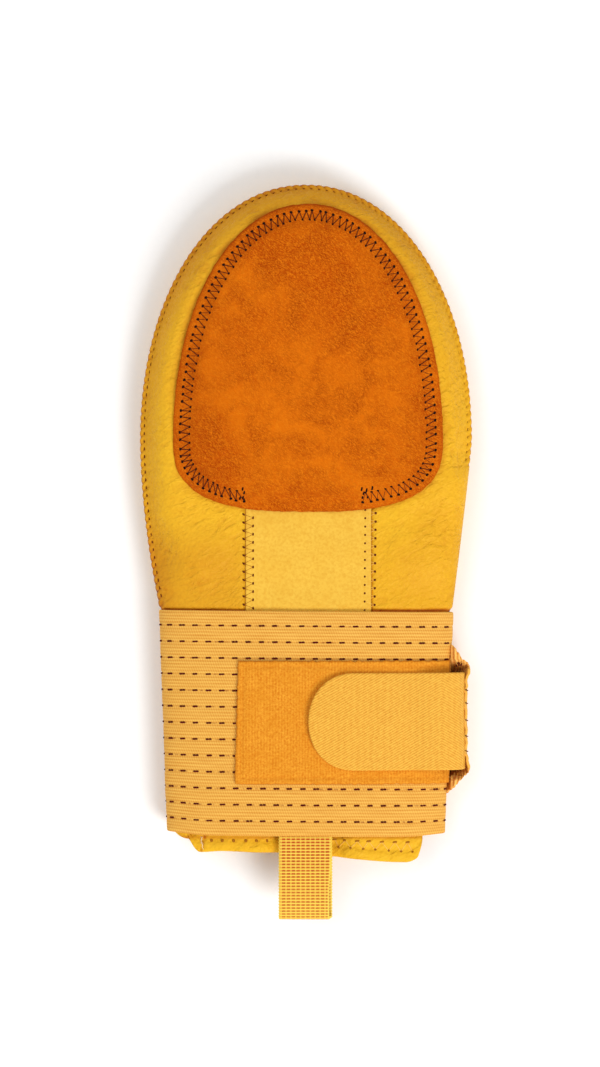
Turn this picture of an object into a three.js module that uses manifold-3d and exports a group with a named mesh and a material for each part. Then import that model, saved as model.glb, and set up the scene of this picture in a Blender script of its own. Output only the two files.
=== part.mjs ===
// A baseball sliding mitt, lying on its back with the suede pad up and the fingertips toward +Y.
// Two padded leather panels meet in a sewn edge and leave a pocket for the hand, open at the
// wrist. An elastic band grips a leather cuff there, a hook strap closes it from the right, and a
// webbing loop under the band's lower edge pulls the mitt on.
// Millimetres, +Z up. The origin is under the middle of the whole mitt, on the surface it lies on.
import * as THREE from "three";
import { mergeVertices } from "three/addons/utils/BufferGeometryUtils.js";
import Module from "manifold-3d";

const wasm = await Module();
wasm.setup();
const { clamp, lerp, smoothstep } = THREE.MathUtils;

const gap = 0.35; // clearance between pieces that touch

const mitt = {
  halfWidth: 76.4,
  tipY: 168.8,
  widestY: 51.5,
  endY: -37.6, // the panels end here, under the band
  roundness: 2.07, // exponent of the fingertip's superellipse
  taper: 9.2, // how far each side has drawn in at the band
  leftCurve: 1.8, // the left side draws in late
  rightCurve: 1.1, // the right side is nearly straight
  seamZ: 12.9,
  tipLift: 2.5, // the fingertip curls up this far
  liftStartY: 60,
  leather: 1.3, // one panel's wall at the sewn edge
  padding: 5, // its wall further in, leather over foam
  paddingStart: 14, // the wall has its full thickness this far in
  sewnFullness: 3, // exponent of the roll between the sewn edge and the crown
  foldFullness: 2.2, // exponent of the round fold that replaces the seam low on the right
  foldTopY: 46, // the right side's seam runs out into the fold between these two places
  foldFullY: 32,
};

// Rise of the front panel over the seam, a row for each place along the mitt. The crown is
// reached at the distance `shoulder` from the edge.
const frontRise = [
  { y: -24, rise: 11.1, shoulder: 30 },
  { y: -2, rise: 12.2, shoulder: 24 },
  { y: 24, rise: 13.5, shoulder: 18 },
  { y: 70, rise: 13.5, shoulder: 17 },
  { y: 120, rise: 12, shoulder: 15.5 },
  { y: 168.8, rise: 10, shoulder: 14 },
];
const backShoulder = 22; // the back panel lies flat from this distance inward

const wrist = {
  topY: -27,
  bottomY: -130,
  topHalfWidth: 67.6,
  bottomHalfWidth: 63.9,
  slant: -0.008, // the band's two edges fall a little toward the right
  halfHeight: 12.9,
  underHeight: 13.3, // more than the half height, so the underside lies flat in its middle
  upperRoundness: 2.5, // exponents of the flattened tube's section
  underRoundness: 3.2,
  bandThickness: 1.25,
  blendStartY: -2, // the padded section turns into the flattened tube between these places
  blendEndY: -24,
};

const strip = { left: -27.7, right: 30, topY: 44, sunk: 0.5, thickness: 3 };

const suede = {
  centreX: 0.9,
  halfWidth: 61.6,
  topY: 159.2,
  widestY: 51.5,
  bottomY: 18.4,
  upperRoundness: 2.07,
  lowerRoundness: 2.8,
  thickness: 2.6,
  edgeThickness: 1.7,
  seat: 0.5, // clearance over the leather, which curves both ways under it
};

const cuff = {
  topY: -38,
  wall: 2.4,
  rightX: 53, // the cuff is slit along the right side
  leftCornerX: -49.5,
  leftHemY: -138,
  hemSlope: -0.048,
  chamferSlope: 0.95,
  cornerRadius: 6.5,
  dip: 4.1, // the front sinks this far under the pull loop
  dipHalfWidth: 26,
  dipStartY: -88,
  dipFullY: -104,
};

const patch = { left: -31.7, right: 63.5, topY: -49.7, bottomY: -106, thickness: 1.8 };

const strap = {
  topY: -55.1,
  bottomY: -101,
  tipX: 1.2,
  tipLength: 20, // the rounded end
  thickness: 1.7,
  layX: 48, // the strap lies on the patch from its tip to here
};
// Round the right side the strap stands off the band: the middle of its thickness, from the front
// down to its sewn end.
const strapTurn = [
  { x: 57, z: 25.6 },
  { x: 65, z: 23.6 },
  { x: 70.6, z: 19.6 },
  { x: 72.7, z: 14.4 },
  { x: 71.9, z: 9.6 },
];

// The strap's root: the middle of its thickness and its two edges, from under the band outward and
// up outside the strap.
const root = { thickness: 1.5 };
const rootRun = [
  { x: 54, z: 1.25, topY: -42.5, bottomY: -111.5 },
  { x: 60, z: 2.8, topY: -42.5, bottomY: -111.5 },
  { x: 66.5, z: 4.5, topY: -43.4, bottomY: -110.6 },
  { x: 71.6, z: 6.4, topY: -48.5, bottomY: -104 },
  { x: 74.4, z: 9.6, topY: -52, bottomY: -100.6 },
  { x: 75.1, z: 14, topY: -53.4, bottomY: -99.2 },
  { x: 74.8, z: 17.5, topY: -53.8, bottomY: -99 },
];

const loop = { width: 23.6, thickness: 1.4, leftX: -12.3, skew: 1.3 };
// The folded webbing seen from the side: out from under the band, round its end and back.
const loopRun = [
  { y: -107, z: 23.35 },
  { y: -130, z: 23.35 },
  { y: -142, z: 23.9 },
  { y: -154, z: 23.6 },
  { y: -163, z: 21.4 },
  { y: -168.35, z: 17.6 },
  { y: -165.8, z: 14.2 },
  { y: -159.5, z: 13.6 },
  { y: -151, z: 16.6 },
  { y: -143, z: 21.1 },
  { y: -130, z: 21.45 },
  { y: -107, z: 21.5 },
];

const yellowLeather = { color: 0xe9ad30, roughness: 0.5 };
const orangeSuede = { color: 0xd7690f, roughness: 0.95 };
const stretchCloth = { color: 0xf2c04a, roughness: 0.85 };
const bandElastic = { color: 0xe8ac4a, roughness: 0.8 };
const fuzzyTape = { color: 0xee9a29, roughness: 0.95 };
const strapTwill = { color: 0xf4b342, roughness: 0.7 };
const loopWebbing = { color: 0xe9b240, roughness: 0.6 };

// A value from one column of a table that is ordered by y, between its two nearest rows.
function between(rows, column, y) {
  const last = rows.length - 1;
  const above = clamp(rows.findIndex((row) => row.y > y), 1, last);
  const upper = rows[y >= rows[last].y ? last : above];
  const lower = rows[y >= rows[last].y ? last - 1 : above - 1];
  return lerp(lower[column], upper[column], clamp((y - lower.y) / (upper.y - lower.y), 0, 1));
}

// A closed solid between two grids of points, `outer` and `inner`. A wall joins them along each
// edge of the grid, except the edges named in `open`, which meet themselves or another edge.
function solidBetween(outer, inner, open = []) {
  const rows = outer.length;
  const columns = outer[0].length;
  const size = rows * columns;
  const points = [...outer.flat(), ...inner.flat()];
  const faces = [];
  const quad = (a, b, c, d) => faces.push([a, b, c], [a, c, d]);
  const at = (row, column) => row * columns + column;
  for (let row = 0; row < rows - 1; row += 1) {
    for (let column = 0; column < columns - 1; column += 1) {
      const corners = [at(row, column), at(row, column + 1), at(row + 1, column + 1), at(row + 1, column)];
      quad(...corners);
      quad(...corners.map((corner) => corner + size).reverse());
    }
  }
  const wall = (a, b) => quad(b, a, a + size, b + size);
  for (let column = 0; column < columns - 1; column += 1) {
    if (!open.includes("firstRow")) wall(at(0, column), at(0, column + 1));
    if (!open.includes("lastRow")) wall(at(rows - 1, column + 1), at(rows - 1, column));
  }
  for (let row = 0; row < rows - 1; row += 1) {
    if (!open.includes("firstColumn")) wall(at(row + 1, 0), at(row, 0));
    if (!open.includes("lastColumn")) wall(at(row, columns - 1), at(row + 1, columns - 1));
  }
  return closedGeometry(points, faces);
}

// Points that coincide become one, faces that this leaves without area go, and the rest point out.
function closedGeometry(points, faces) {
  const seen = new Map();
  const positions = [];
  const merged = points.map((point) => {
    const key = point.map((value) => Math.round(value * 2000)).join();
    if (!seen.has(key)) {
      seen.set(key, positions.length / 3);
      positions.push(...point);
    }
    return seen.get(key);
  });
  const kept = faces
    .map((face) => face.map((corner) => merged[corner]))
    .filter(([a, b, c]) => a !== b && b !== c && c !== a);
  const corner = (id) => new THREE.Vector3().fromArray(positions, id * 3);
  const volume = kept.reduce((sum, [a, b, c]) => sum + corner(a).dot(corner(b).cross(corner(c))), 0);
  if (volume < 0) kept.forEach((face) => face.reverse());
  const geometry = new THREE.BufferGeometry();
  geometry.setAttribute("position", new THREE.Float32BufferAttribute(positions, 3));
  geometry.setIndex(kept.flat());
  return geometry;
}

function manifoldOf(geometry) {
  const bare = new THREE.BufferGeometry();
  bare.setAttribute("position", geometry.getAttribute("position"));
  bare.setIndex(geometry.getIndex());
  const merged = mergeVertices(bare);
  const vertProperties = new Float32Array(merged.getAttribute("position").array);
  const triVerts = new Uint32Array(merged.getIndex().array);
  return new wasm.Manifold(new wasm.Mesh({ numProp: 3, vertProperties, triVerts }));
}

function geometryOf(manifold) {
  const { vertProperties, triVerts } = manifold.getMesh();
  const geometry = new THREE.BufferGeometry();
  geometry.setAttribute("position", new THREE.BufferAttribute(vertProperties, 3));
  geometry.setIndex(new THREE.BufferAttribute(triVerts, 1));
  return geometry;
}

const tubeHalfWidth = (y) =>
  lerp(wrist.topHalfWidth, wrist.bottomHalfWidth, (y - wrist.topY) / (wrist.bottomY - wrist.topY));

// Height of the flattened tube's wall at (x, y), `inset` millimetres inside the band's outer face.
// side is +1 over the seam and -1 under it.
function tubeZ(x, y, inset, side) {
  const across = clamp(Math.abs(x) / (tubeHalfWidth(y) - inset), 0, 1);
  const power = side > 0 ? wrist.upperRoundness : wrist.underRoundness;
  const reach = (side > 0 ? wrist.halfHeight : wrist.underHeight) - inset;
  const bow = reach * (1 - across ** power) ** (1 / power);
  return Math.max(mitt.seamZ + side * bow, inset);
}

// Distance of the mitt's outline from the centre line, on the right (+1) or the left (-1).
function edgeX(y, side) {
  const down = clamp((mitt.widestY - y) / (mitt.widestY - wrist.topY), 0, 1);
  const drawn = mitt.taper * down ** (side > 0 ? mitt.rightCurve : mitt.leftCurve);
  const squeezed = smoothstep(-y, -wrist.topY - 9, -wrist.topY);
  const insideBand = tubeHalfWidth(y) - wrist.bandThickness - gap;
  return lerp(mitt.halfWidth - drawn, insideBand, squeezed);
}

// The outline's distance from the middle of the mitt along the line through (x, y), and the
// point's own: level across below the widest place, radial above it.
function fromMiddle(x, y) {
  if (y <= mitt.widestY) return { edge: edgeX(y, x < 0 ? -1 : 1), own: Math.abs(x) };
  const up = y - mitt.widestY;
  const across = Math.abs(x) / mitt.halfWidth;
  const along = up / (mitt.tipY - mitt.widestY);
  const scaled = (across ** mitt.roundness + along ** mitt.roundness) ** (1 / mitt.roundness);
  const own = Math.hypot(x, up);
  return { edge: own / scaled, own };
}

// 0 where the two panels are sewn edge to edge, 1 where the leather is a round fold.
function foldShare(x, y) {
  const underBand = smoothstep(-y, -wrist.blendStartY, -wrist.blendEndY);
  return x < 0 ? underBand : smoothstep(-y, -mitt.foldTopY, -mitt.foldFullY);
}

const seamLift = (y) => mitt.tipLift * smoothstep(y, mitt.liftStartY, mitt.tipY);

// Height of a panel's outer face at (x, y): the front's with side +1, the back's with side -1.
function panelZ(x, y, side) {
  const { edge, own } = fromMiddle(x, y);
  const shoulder = side > 0 ? between(frontRise, "shoulder", y) : backShoulder;
  const inward = clamp((edge - own) / shoulder, 0, 1);
  const fold = foldShare(x, y);
  const sewn = 1 - (1 - inward) ** mitt.sewnFullness * (1 + mitt.sewnFullness * inward);
  const folded = (1 - (1 - inward) ** mitt.foldFullness) ** (1 / mitt.foldFullness);
  const seam = mitt.seamZ + seamLift(y);
  const lip = gap / 2 + (1 - fold) * mitt.leather;
  const rise = side > 0 ? between(frontRise, "rise", y) : seam;
  const padded = seam + side * lerp(lip, rise, lerp(sewn, folded, fold));
  const tube = tubeZ(x, y, wrist.bandThickness + gap, side);
  return lerp(padded, tube, smoothstep(-y, -wrist.blendStartY, -wrist.blendEndY));
}

// The points of the mitt's outline from the left end up round the fingertip to the right end, each
// with the point of the centre line that faces it.
function outlineRays() {
  const sideSteps = 11;
  const tipSteps = 40;
  const left = [];
  for (let step = 0; step < sideSteps; step += 1) {
    const y = lerp(mitt.endY, mitt.widestY, step / sideSteps);
    left.push({ x: -edgeX(y, -1), y, middleY: y });
  }
  const right = left.map(({ y }) => ({ x: edgeX(y, 1), y, middleY: y })).reverse();
  const tip = [];
  for (let step = 0; step <= tipSteps; step += 1) {
    const angle = Math.PI * (1 - step / tipSteps);
    const across = Math.sign(Math.cos(angle)) * Math.abs(Math.cos(angle)) ** (2 / mitt.roundness);
    const along = Math.sin(angle) ** (2 / mitt.roundness);
    const y = lerp(mitt.widestY, mitt.tipY, along);
    tip.push({ x: mitt.halfWidth * across, y, middleY: mitt.widestY });
  }
  return [...left, ...tip, ...right];
}

// A padded panel: its outer face on a grid of rays from the outline inward, and its inner face a
// wall's thickness behind it.
function panelSolid(side) {
  const denseSteps = 8;
  const denseReach = 24;
  const wideSteps = side > 0 ? 4 : 2;
  const nudge = 0.25;
  const outer = [];
  const inner = [];
  for (const ray of outlineRays()) {
    const toMiddle = new THREE.Vector2(-ray.x, ray.middleY - ray.y);
    const length = toMiddle.length();
    toMiddle.normalize();
    const seam = mitt.seamZ + seamLift(ray.y);
    const fold = foldShare(ray.x, ray.y);
    const fullWall = lerp(cuff.wall, mitt.padding, smoothstep(ray.y, wrist.topY, 0));
    const outerRow = [[ray.x, ray.y, seam + side * (gap / 2 + (1 - fold) * mitt.leather)]];
    const foldWall = fold * fullWall * 0.8;
    const innerEdge = [ray.x + toMiddle.x * foldWall, ray.y + toMiddle.y * foldWall];
    const innerRow = [[...innerEdge, seam + (side * gap) / 2]];
    for (let step = 1; step <= denseSteps + wideSteps; step += 1) {
      const dense = denseReach * (step / denseSteps) ** 1.6;
      const wide = lerp(denseReach, length, (step - denseSteps) / wideSteps);
      const inward = step <= denseSteps ? dense : wide;
      const x = ray.x + toMiddle.x * inward;
      const y = ray.y + toMiddle.y * inward;
      const z = panelZ(x, y, side);
      const slopeX = (panelZ(x + nudge, y, side) - panelZ(x - nudge, y, side)) / (2 * nudge);
      const slopeY = (panelZ(x, y + nudge, side) - panelZ(x, y - nudge, side)) / (2 * nudge);
      const inside = new THREE.Vector3(slopeX, slopeY, -1).multiplyScalar(side).normalize();
      const sewnWall = lerp(mitt.leather, fullWall, smoothstep(inward, 0, mitt.paddingStart));
      const wall = lerp(sewnWall, fullWall, fold);
      const bounded = side * Math.max(side * (z + inside.z * wall - seam), gap / 2);
      outerRow.push([x, y, z]);
      innerRow.push([x + inside.x * wall, y + inside.y * wall, seam + bounded]);
    }
    outer.push(outerRow);
    inner.push(innerRow);
  }
  return solidBetween(outer, inner, ["lastColumn"]);
}

// The front panel's leather, with the slot that the stretch strip fills.
function frontLeather() {
  const width = strip.right - strip.left;
  const slot = new THREE.BoxGeometry(width, strip.topY + 100, 60);
  slot.translate(strip.left + width / 2, (strip.topY - 100) / 2, 30);
  return geometryOf(manifoldOf(panelSolid(1)).subtract(manifoldOf(slot)));
}

function centerPanel() {
  const acrossSteps = 8;
  const alongSteps = 12;
  const outer = [];
  const inner = [];
  for (let row = 0; row <= alongSteps; row += 1) {
    const y = lerp(mitt.endY, strip.topY - gap, row / alongSteps);
    const places = Array.from({ length: acrossSteps + 1 }, (_, step) =>
      lerp(strip.left + gap, strip.right - gap, step / acrossSteps));
    const sunk = strip.sunk * smoothstep(y, mitt.endY, wrist.blendStartY);
    const top = places.map((x) => [x, y, panelZ(x, y, 1) - sunk]);
    outer.push(top);
    inner.push(top.map(([x, , z]) => [x, y, z - strip.thickness]));
  }
  return solidBetween(outer, inner);
}

// The suede pad: rings from its cut edge to its middle, laid over the front panel.
function suedePad() {
  const steps = 44;
  const rings = [1, 0.97, 0.9, 0.78, 0.62, 0.44, 0.22, 0];
  const outer = [];
  const inner = [];
  for (let step = 0; step <= steps; step += 1) {
    const angle = (2 * Math.PI * (step % steps)) / steps;
    const upper = Math.sin(angle) >= 0;
    const power = 2 / (upper ? suede.upperRoundness : suede.lowerRoundness);
    const reach = upper ? suede.topY - suede.widestY : suede.widestY - suede.bottomY;
    const edgeAcross = suede.halfWidth * Math.sign(Math.cos(angle)) * Math.abs(Math.cos(angle)) ** power;
    const edgeAlong = reach * Math.sign(Math.sin(angle)) * Math.abs(Math.sin(angle)) ** power;
    const under = rings.map((ring) => {
      const x = suede.centreX + ring * edgeAcross;
      const y = suede.widestY + ring * edgeAlong;
      return [x, y, panelZ(x, y, 1) + suede.seat];
    });
    inner.push(under);
    outer.push(under.map(([x, y, z], ring) =>
      [x, y, z + (ring === 0 ? suede.edgeThickness : suede.thickness)]));
  }
  return solidBetween(outer, inner, ["firstRow", "lastRow", "lastColumn"]);
}

// A point of the flattened tube's wall, `inset` inside the band's outer face, at an angle from the
// right side over the top.
function tubePoint(angle, y, inset) {
  const side = Math.sin(angle) >= 0 ? 1 : -1;
  const power = side > 0 ? wrist.upperRoundness : wrist.underRoundness;
  const across = Math.sign(Math.cos(angle)) * Math.abs(Math.cos(angle)) ** (2 / power);
  const x = (tubeHalfWidth(y) - inset) * across;
  return { x, z: tubeZ(x, y, inset, side), side };
}

function wristBand() {
  const aroundSteps = 56;
  const alongSteps = 4;
  const outer = [];
  const inner = [];
  for (let step = 0; step <= aroundSteps; step += 1) {
    const angle = (2 * Math.PI * (step % aroundSteps)) / aroundSteps;
    const rowAt = (inset) => Array.from({ length: alongSteps + 1 }, (_, along) => {
      const y = lerp(wrist.topY, wrist.bottomY, along / alongSteps);
      const { x, z } = tubePoint(angle, y, inset);
      return [x, y + wrist.slant * x, z];
    });
    outer.push(rowAt(0));
    inner.push(rowAt(wrist.bandThickness));
  }
  return solidBetween(outer, inner, ["firstRow", "lastRow"]);
}

// The cuff's lower edge: cut off at an angle on the left, falling to a round corner on the right.
function hemY(x) {
  const cut = cuff.chamferSlope * Math.max(cuff.leftCornerX - x, 0);
  const run = cuff.hemSlope * Math.max(x - cuff.leftCornerX, 0);
  const intoCorner = clamp(x - (cuff.rightX - cuff.cornerRadius), 0, cuff.cornerRadius);
  const corner = cuff.cornerRadius - Math.sqrt(cuff.cornerRadius ** 2 - intoCorner ** 2);
  return cuff.leftHemY + cut + run + corner;
}

function cuffSolid() {
  const aroundSteps = 52;
  const alongSteps = 6;
  const middleY = (wrist.topY + wrist.bottomY) / 2;
  const outset = wrist.bandThickness + gap;
  const share = cuff.rightX / (tubeHalfWidth(middleY) - outset);
  const start = Math.acos(share ** (wrist.upperRoundness / 2));
  const end = 2 * Math.PI - Math.acos(share ** (wrist.underRoundness / 2));
  const outer = [];
  const inner = [];
  for (let step = 0; step <= aroundSteps; step += 1) {
    const angle = lerp(start, end, step / aroundSteps);
    const endAt = hemY(Math.min(tubePoint(angle, middleY, outset).x, cuff.rightX));
    const rowAt = (inset) => Array.from({ length: alongSteps + 1 }, (_, along) => {
      const y = lerp(cuff.topY, endAt, along / alongSteps);
      const { x, z, side } = tubePoint(angle, y, inset);
      const beside = 0.5 + 0.5 * Math.cos(Math.PI * clamp(x / cuff.dipHalfWidth, -1, 1));
      const dip = cuff.dip * smoothstep(beside, 0, 0.5) * smoothstep(-y, -cuff.dipStartY, -cuff.dipFullY);
      return [x, y, side > 0 ? z - dip : z];
    });
    outer.push(rowAt(outset));
    inner.push(rowAt(outset + cuff.wall));
  }
  return solidBetween(outer, inner);
}

function loopPatch() {
  const acrossSteps = 18;
  const alongSteps = 3;
  const outer = [];
  const inner = [];
  for (let along = 0; along <= alongSteps; along += 1) {
    const y = lerp(patch.topY, patch.bottomY, along / alongSteps);
    const rowAt = (inset) => Array.from({ length: acrossSteps + 1 }, (_, step) => {
      const x = lerp(patch.left, patch.right, Math.sin((Math.PI / 2) * (step / acrossSteps)));
      return [x, y, tubeZ(x, y, inset, 1)];
    });
    outer.push(rowAt(-gap - patch.thickness));
    inner.push(rowAt(-gap));
  }
  return solidBetween(outer, inner);
}

// A flat band carried along a run of stations. Each station gives the band's two edges, the middle
// of its thickness there, and the direction across its thickness.
function ribbon(stations, thickness) {
  const faceAt = (share) => stations.map(({ edges, face }) =>
    edges.map((edge) => edge.clone().addScaledVector(face, share * thickness).toArray()));
  return solidBetween(faceAt(0.5), faceAt(-0.5));
}

// Stations along a smooth curve through table rows, in the plane of `turnAxis`.
function stationsAlong(points, steps, turnAxis, edgesAt) {
  const curve = new THREE.CatmullRomCurve3(points, false, "centripetal");
  return Array.from({ length: steps + 1 }, (_, step) => {
    const share = step / steps;
    const face = curve.getTangentAt(share).cross(turnAxis).normalize();
    return { edges: edgesAt(curve.getPointAt(share), share), face };
  });
}

function hookStrap() {
  const layInset = -(2 * gap + patch.thickness + strap.thickness / 2);
  const middleY = (strap.topY + strap.bottomY) / 2;
  const halfWidth = (strap.topY - strap.bottomY) / 2;
  const laid = Array.from({ length: 8 }, (_, step) => {
    const x = lerp(strap.tipX, strap.layX, step / 7);
    return new THREE.Vector3(x, 0, tubeZ(x, middleY, layInset, 1));
  });
  const turned = strapTurn.map(({ x, z }) => new THREE.Vector3(x, 0, z));
  const across = (point) => {
    const fromTip = clamp(1 - (point.x - strap.tipX) / strap.tipLength, 0, 1);
    const half = Math.max(halfWidth * (1 - fromTip ** 2.3) ** (1 / 2.3), 0.01);
    const offsets = [-1, -0.5, 0, 0.5, 1];
    return offsets.map((offset) => new THREE.Vector3(point.x, middleY + offset * half, point.z));
  };
  const stations = stationsAlong([...laid, ...turned], 38, new THREE.Vector3(0, 1, 0), across);
  return ribbon(stations, strap.thickness);
}

function strapRoot() {
  const points = rootRun.map(({ x, z }) => new THREE.Vector3(x, 0, z));
  const curve = new THREE.CatmullRomCurve3(points, false, "centripetal");
  const ends = (column) =>
    new THREE.CatmullRomCurve3(rootRun.map((row) => new THREE.Vector3(row[column], 0, 0)));
  const topEdge = ends("topY");
  const bottomEdge = ends("bottomY");
  const steps = 24;
  const stations = Array.from({ length: steps + 1 }, (_, step) => {
    const share = step / steps;
    const { x, z } = curve.getPoint(share);
    const face = curve.getTangent(share).cross(new THREE.Vector3(0, 1, 0)).normalize();
    const from = topEdge.getPoint(share).x;
    const to = bottomEdge.getPoint(share).x;
    const edges = [0, 0.25, 0.5, 0.75, 1].map((part) => new THREE.Vector3(x, lerp(from, to, part), z));
    return { edges, face };
  });
  return ribbon(stations, root.thickness);
}

function pullLoop() {
  const points = loopRun.map(({ y, z }) => new THREE.Vector3(0, y, z));
  const edgesAt = (point, share) => {
    const left = loop.leftX + loop.skew * smoothstep(share, 0.35, 0.65);
    return [0, 0.5, 1].map((part) => new THREE.Vector3(left + part * loop.width, point.y, point.z));
  };
  return ribbon(stationsAlong(points, 48, new THREE.Vector3(1, 0, 0), edgesAt), loop.thickness);
}

const slidingMitt = new THREE.Group();

function add(name, geometry, look) {
  geometry.computeVertexNormals();
  const material = new THREE.MeshStandardMaterial({ ...look, metalness: 0 });
  const mesh = new THREE.Mesh(geometry, material);
  mesh.name = name;
  slidingMitt.add(mesh);
}

add("front_leather", frontLeather(), yellowLeather);
add("back_panel", panelSolid(-1), yellowLeather);
add("center_panel", centerPanel(), stretchCloth);
add("suede_pad", suedePad(), orangeSuede);
add("wrist_band", wristBand(), bandElastic);
add("cuff", cuffSolid(), yellowLeather);
add("loop_patch", loopPatch(), fuzzyTape);
add("hook_strap", hookStrap(), strapTwill);
add("strap_root", strapRoot(), fuzzyTape);
add("pull_loop", pullLoop(), loopWebbing);

export default slidingMitt;
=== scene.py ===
# A baseball sliding mitt lying on its back: padded yellow leather, an orange suede palm pad, a
# wide elastic wrist band with a hook strap, and a webbing loop that pulls it on.
# Shapes are worked out in millimetres and put into the meshes in metres.
import functools
import math

import bpy
import numpy as np
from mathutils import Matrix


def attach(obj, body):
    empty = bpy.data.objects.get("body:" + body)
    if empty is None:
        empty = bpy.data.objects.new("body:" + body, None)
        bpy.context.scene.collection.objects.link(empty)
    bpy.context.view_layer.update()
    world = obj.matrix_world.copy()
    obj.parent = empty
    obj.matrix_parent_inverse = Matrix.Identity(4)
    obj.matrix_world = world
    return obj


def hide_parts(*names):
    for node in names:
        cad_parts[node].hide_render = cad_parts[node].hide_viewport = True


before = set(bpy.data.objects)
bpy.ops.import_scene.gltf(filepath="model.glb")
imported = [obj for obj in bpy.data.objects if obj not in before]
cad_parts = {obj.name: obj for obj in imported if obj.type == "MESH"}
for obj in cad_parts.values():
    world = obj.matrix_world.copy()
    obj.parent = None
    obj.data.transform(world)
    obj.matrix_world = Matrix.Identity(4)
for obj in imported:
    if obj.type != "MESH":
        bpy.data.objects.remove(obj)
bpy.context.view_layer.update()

scene = bpy.context.scene
print("frame loaded,", len(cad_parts), "nodes")


def smoothStep(value, low, high):
    # 0 until low, 1 from high on, and a smooth rise between them; high may be the smaller number.
    share = np.clip((value - low) / (high - low), 0, 1)
    return share * share * (3 - 2 * share)


def mixed(first, second, share):
    # The first where share is 0, the second where it is 1.
    return first + (second - first) * share


def bell(value, width):
    # 1 where the value is 0, falling off to nothing about two widths away.
    return np.exp(-(value / width) ** 2)


def signedPower(value, power):
    # A power of the value's size, with its sign kept.
    return np.sign(value) * np.abs(value) ** power


def unit(vectors):
    # Vectors drawn to length 1.
    return vectors / np.linalg.norm(vectors, axis=-1, keepdims=True)


def superellipse(across, along, power):
    # 1 on the curve whose powers of across and along add up to 1, less inside it.
    return (np.abs(across) ** power + np.abs(along) ** power) ** (1 / power)


def softHills(x, y, size, seed):
    # Nine sine waves in seeded directions added up: smooth hills about `size` apart, mostly -1 to 1.
    chance = np.random.default_rng(seed)
    total = 0
    for _ in range(9):
        angle, length = chance.uniform(0, 2 * math.pi), size * chance.uniform(0.7, 1.7)
        start = chance.uniform(0, 9)
        total = total + np.sin((x * math.cos(angle) + y * math.sin(angle)) * 2 * math.pi / length + start)
    return total / 4


def softSpacing(length, rim, rimSteps, steps):
    # Places from 0 to length, close together in the rounded rim at each end and even between.
    start = rim * (1 - np.cos(np.linspace(0, math.pi / 2, rimSteps + 1)))
    return np.concatenate([start[:-1], np.linspace(rim, length - rim, steps), length - start[::-1][1:]])


def roundRim(distance, radius):
    # 0 at an edge and 1 from `radius` inward, along a quarter circle.
    return np.sqrt(1 - (1 - np.clip(distance / radius, 0, 1)) ** 2)


def walked(points):
    # Distance along a path to each of its points.
    return np.concatenate([[0], np.cumsum(np.linalg.norm(np.diff(points, axis=0), axis=1))])


def atPlaces(places, way, table):
    # What each column of a table holds at places along a way.
    return np.stack([np.interp(places, way, column) for column in table.T], -1)


def alongPath(points, places):
    # Points of a path at given distances along it.
    return atPlaces(places, walked(points), points)


def headings(points, way):
    # The direction of a path at each of its points.
    return unit(np.gradient(points, way, axis=0))


def rightward(points, way):
    # Across a flat path, to its right: its direction turned a quarter clockwise.
    return headings(points, way)[:, ::-1] * (1, -1)


def smoothPath(points, count):
    # A centripetal Catmull-Rom curve through the points, as Hermite pieces, at `count` even places.
    points = np.array(points, float)
    framed = np.vstack([2 * points[0] - points[1], points, 2 * points[-1] - points[-2]])
    step = np.sqrt(np.linalg.norm(np.diff(framed, axis=0), axis=1))[:, None]
    p0, p1, p2, p3 = framed[:-3], framed[1:-2], framed[2:-1], framed[3:]
    a, b, c = step[:-2], step[1:-1], step[2:]
    m1 = ((p1 - p0) / a - (p2 - p0) / (a + b) + (p2 - p1) / b) * b
    m2 = ((p2 - p1) / b - (p3 - p1) / (b + c) + (p3 - p2) / c) * b
    t = np.linspace(0, 1, 40, endpoint=False)[None, :, None]
    bent = ((2 * t**3 - 3 * t**2 + 1) * p1[:, None] + (t**3 - 2 * t**2 + t) * m1[:, None]
            + (3 * t**2 - 2 * t**3) * p2[:, None] + (t**3 - t**2) * m2[:, None])
    path = np.vstack([bent.reshape(-1, points.shape[1]), points[-1:]])
    return alongPath(path, np.linspace(0, walked(path)[-1], count))


def gridFaces(at):
    # A quad between each four neighbours in a grid of point numbers.
    return np.stack([at[:-1, :-1], at[:-1, 1:], at[1:, 1:], at[1:, :-1]], -1).reshape(-1, 4)


def sheetShell(outer, inner):
    # Two grids that meet at their edges: the inner one is turned round, and welding closes them.
    at = np.arange(outer[..., 0].size).reshape(outer.shape[:2])
    points = np.concatenate([outer.reshape(-1, 3), inner.reshape(-1, 3)])
    return points, np.concatenate([gridFaces(at), gridFaces(at)[:, ::-1] + at.size])


def walledShell(outer, inner, meets=()):
    # Two grids with a wall between them along each edge of the grid that isn't named in meets.
    points, faces = sheetShell(outer, inner)
    at = np.arange(outer[..., 0].size).reshape(outer.shape[:2])
    edges = dict(firstRow=at[0], lastRow=at[-1, ::-1], firstColumn=at[::-1, 0], lastColumn=at[:, -1])
    walls = [np.stack([edge[1:], edge[:-1], edge[:-1] + at.size, edge[1:] + at.size], 1)
             for name, edge in edges.items() if name not in meets]
    return points, np.concatenate([faces, *walls])


def joined(parts):
    # Several (points, faces) pairs as one.
    counts = np.cumsum([0] + [len(points) for points, _ in parts])
    faces = [each + start for (_, each), start in zip(parts, counts)]
    return np.concatenate([points for points, _ in parts]), np.concatenate(faces)


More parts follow.
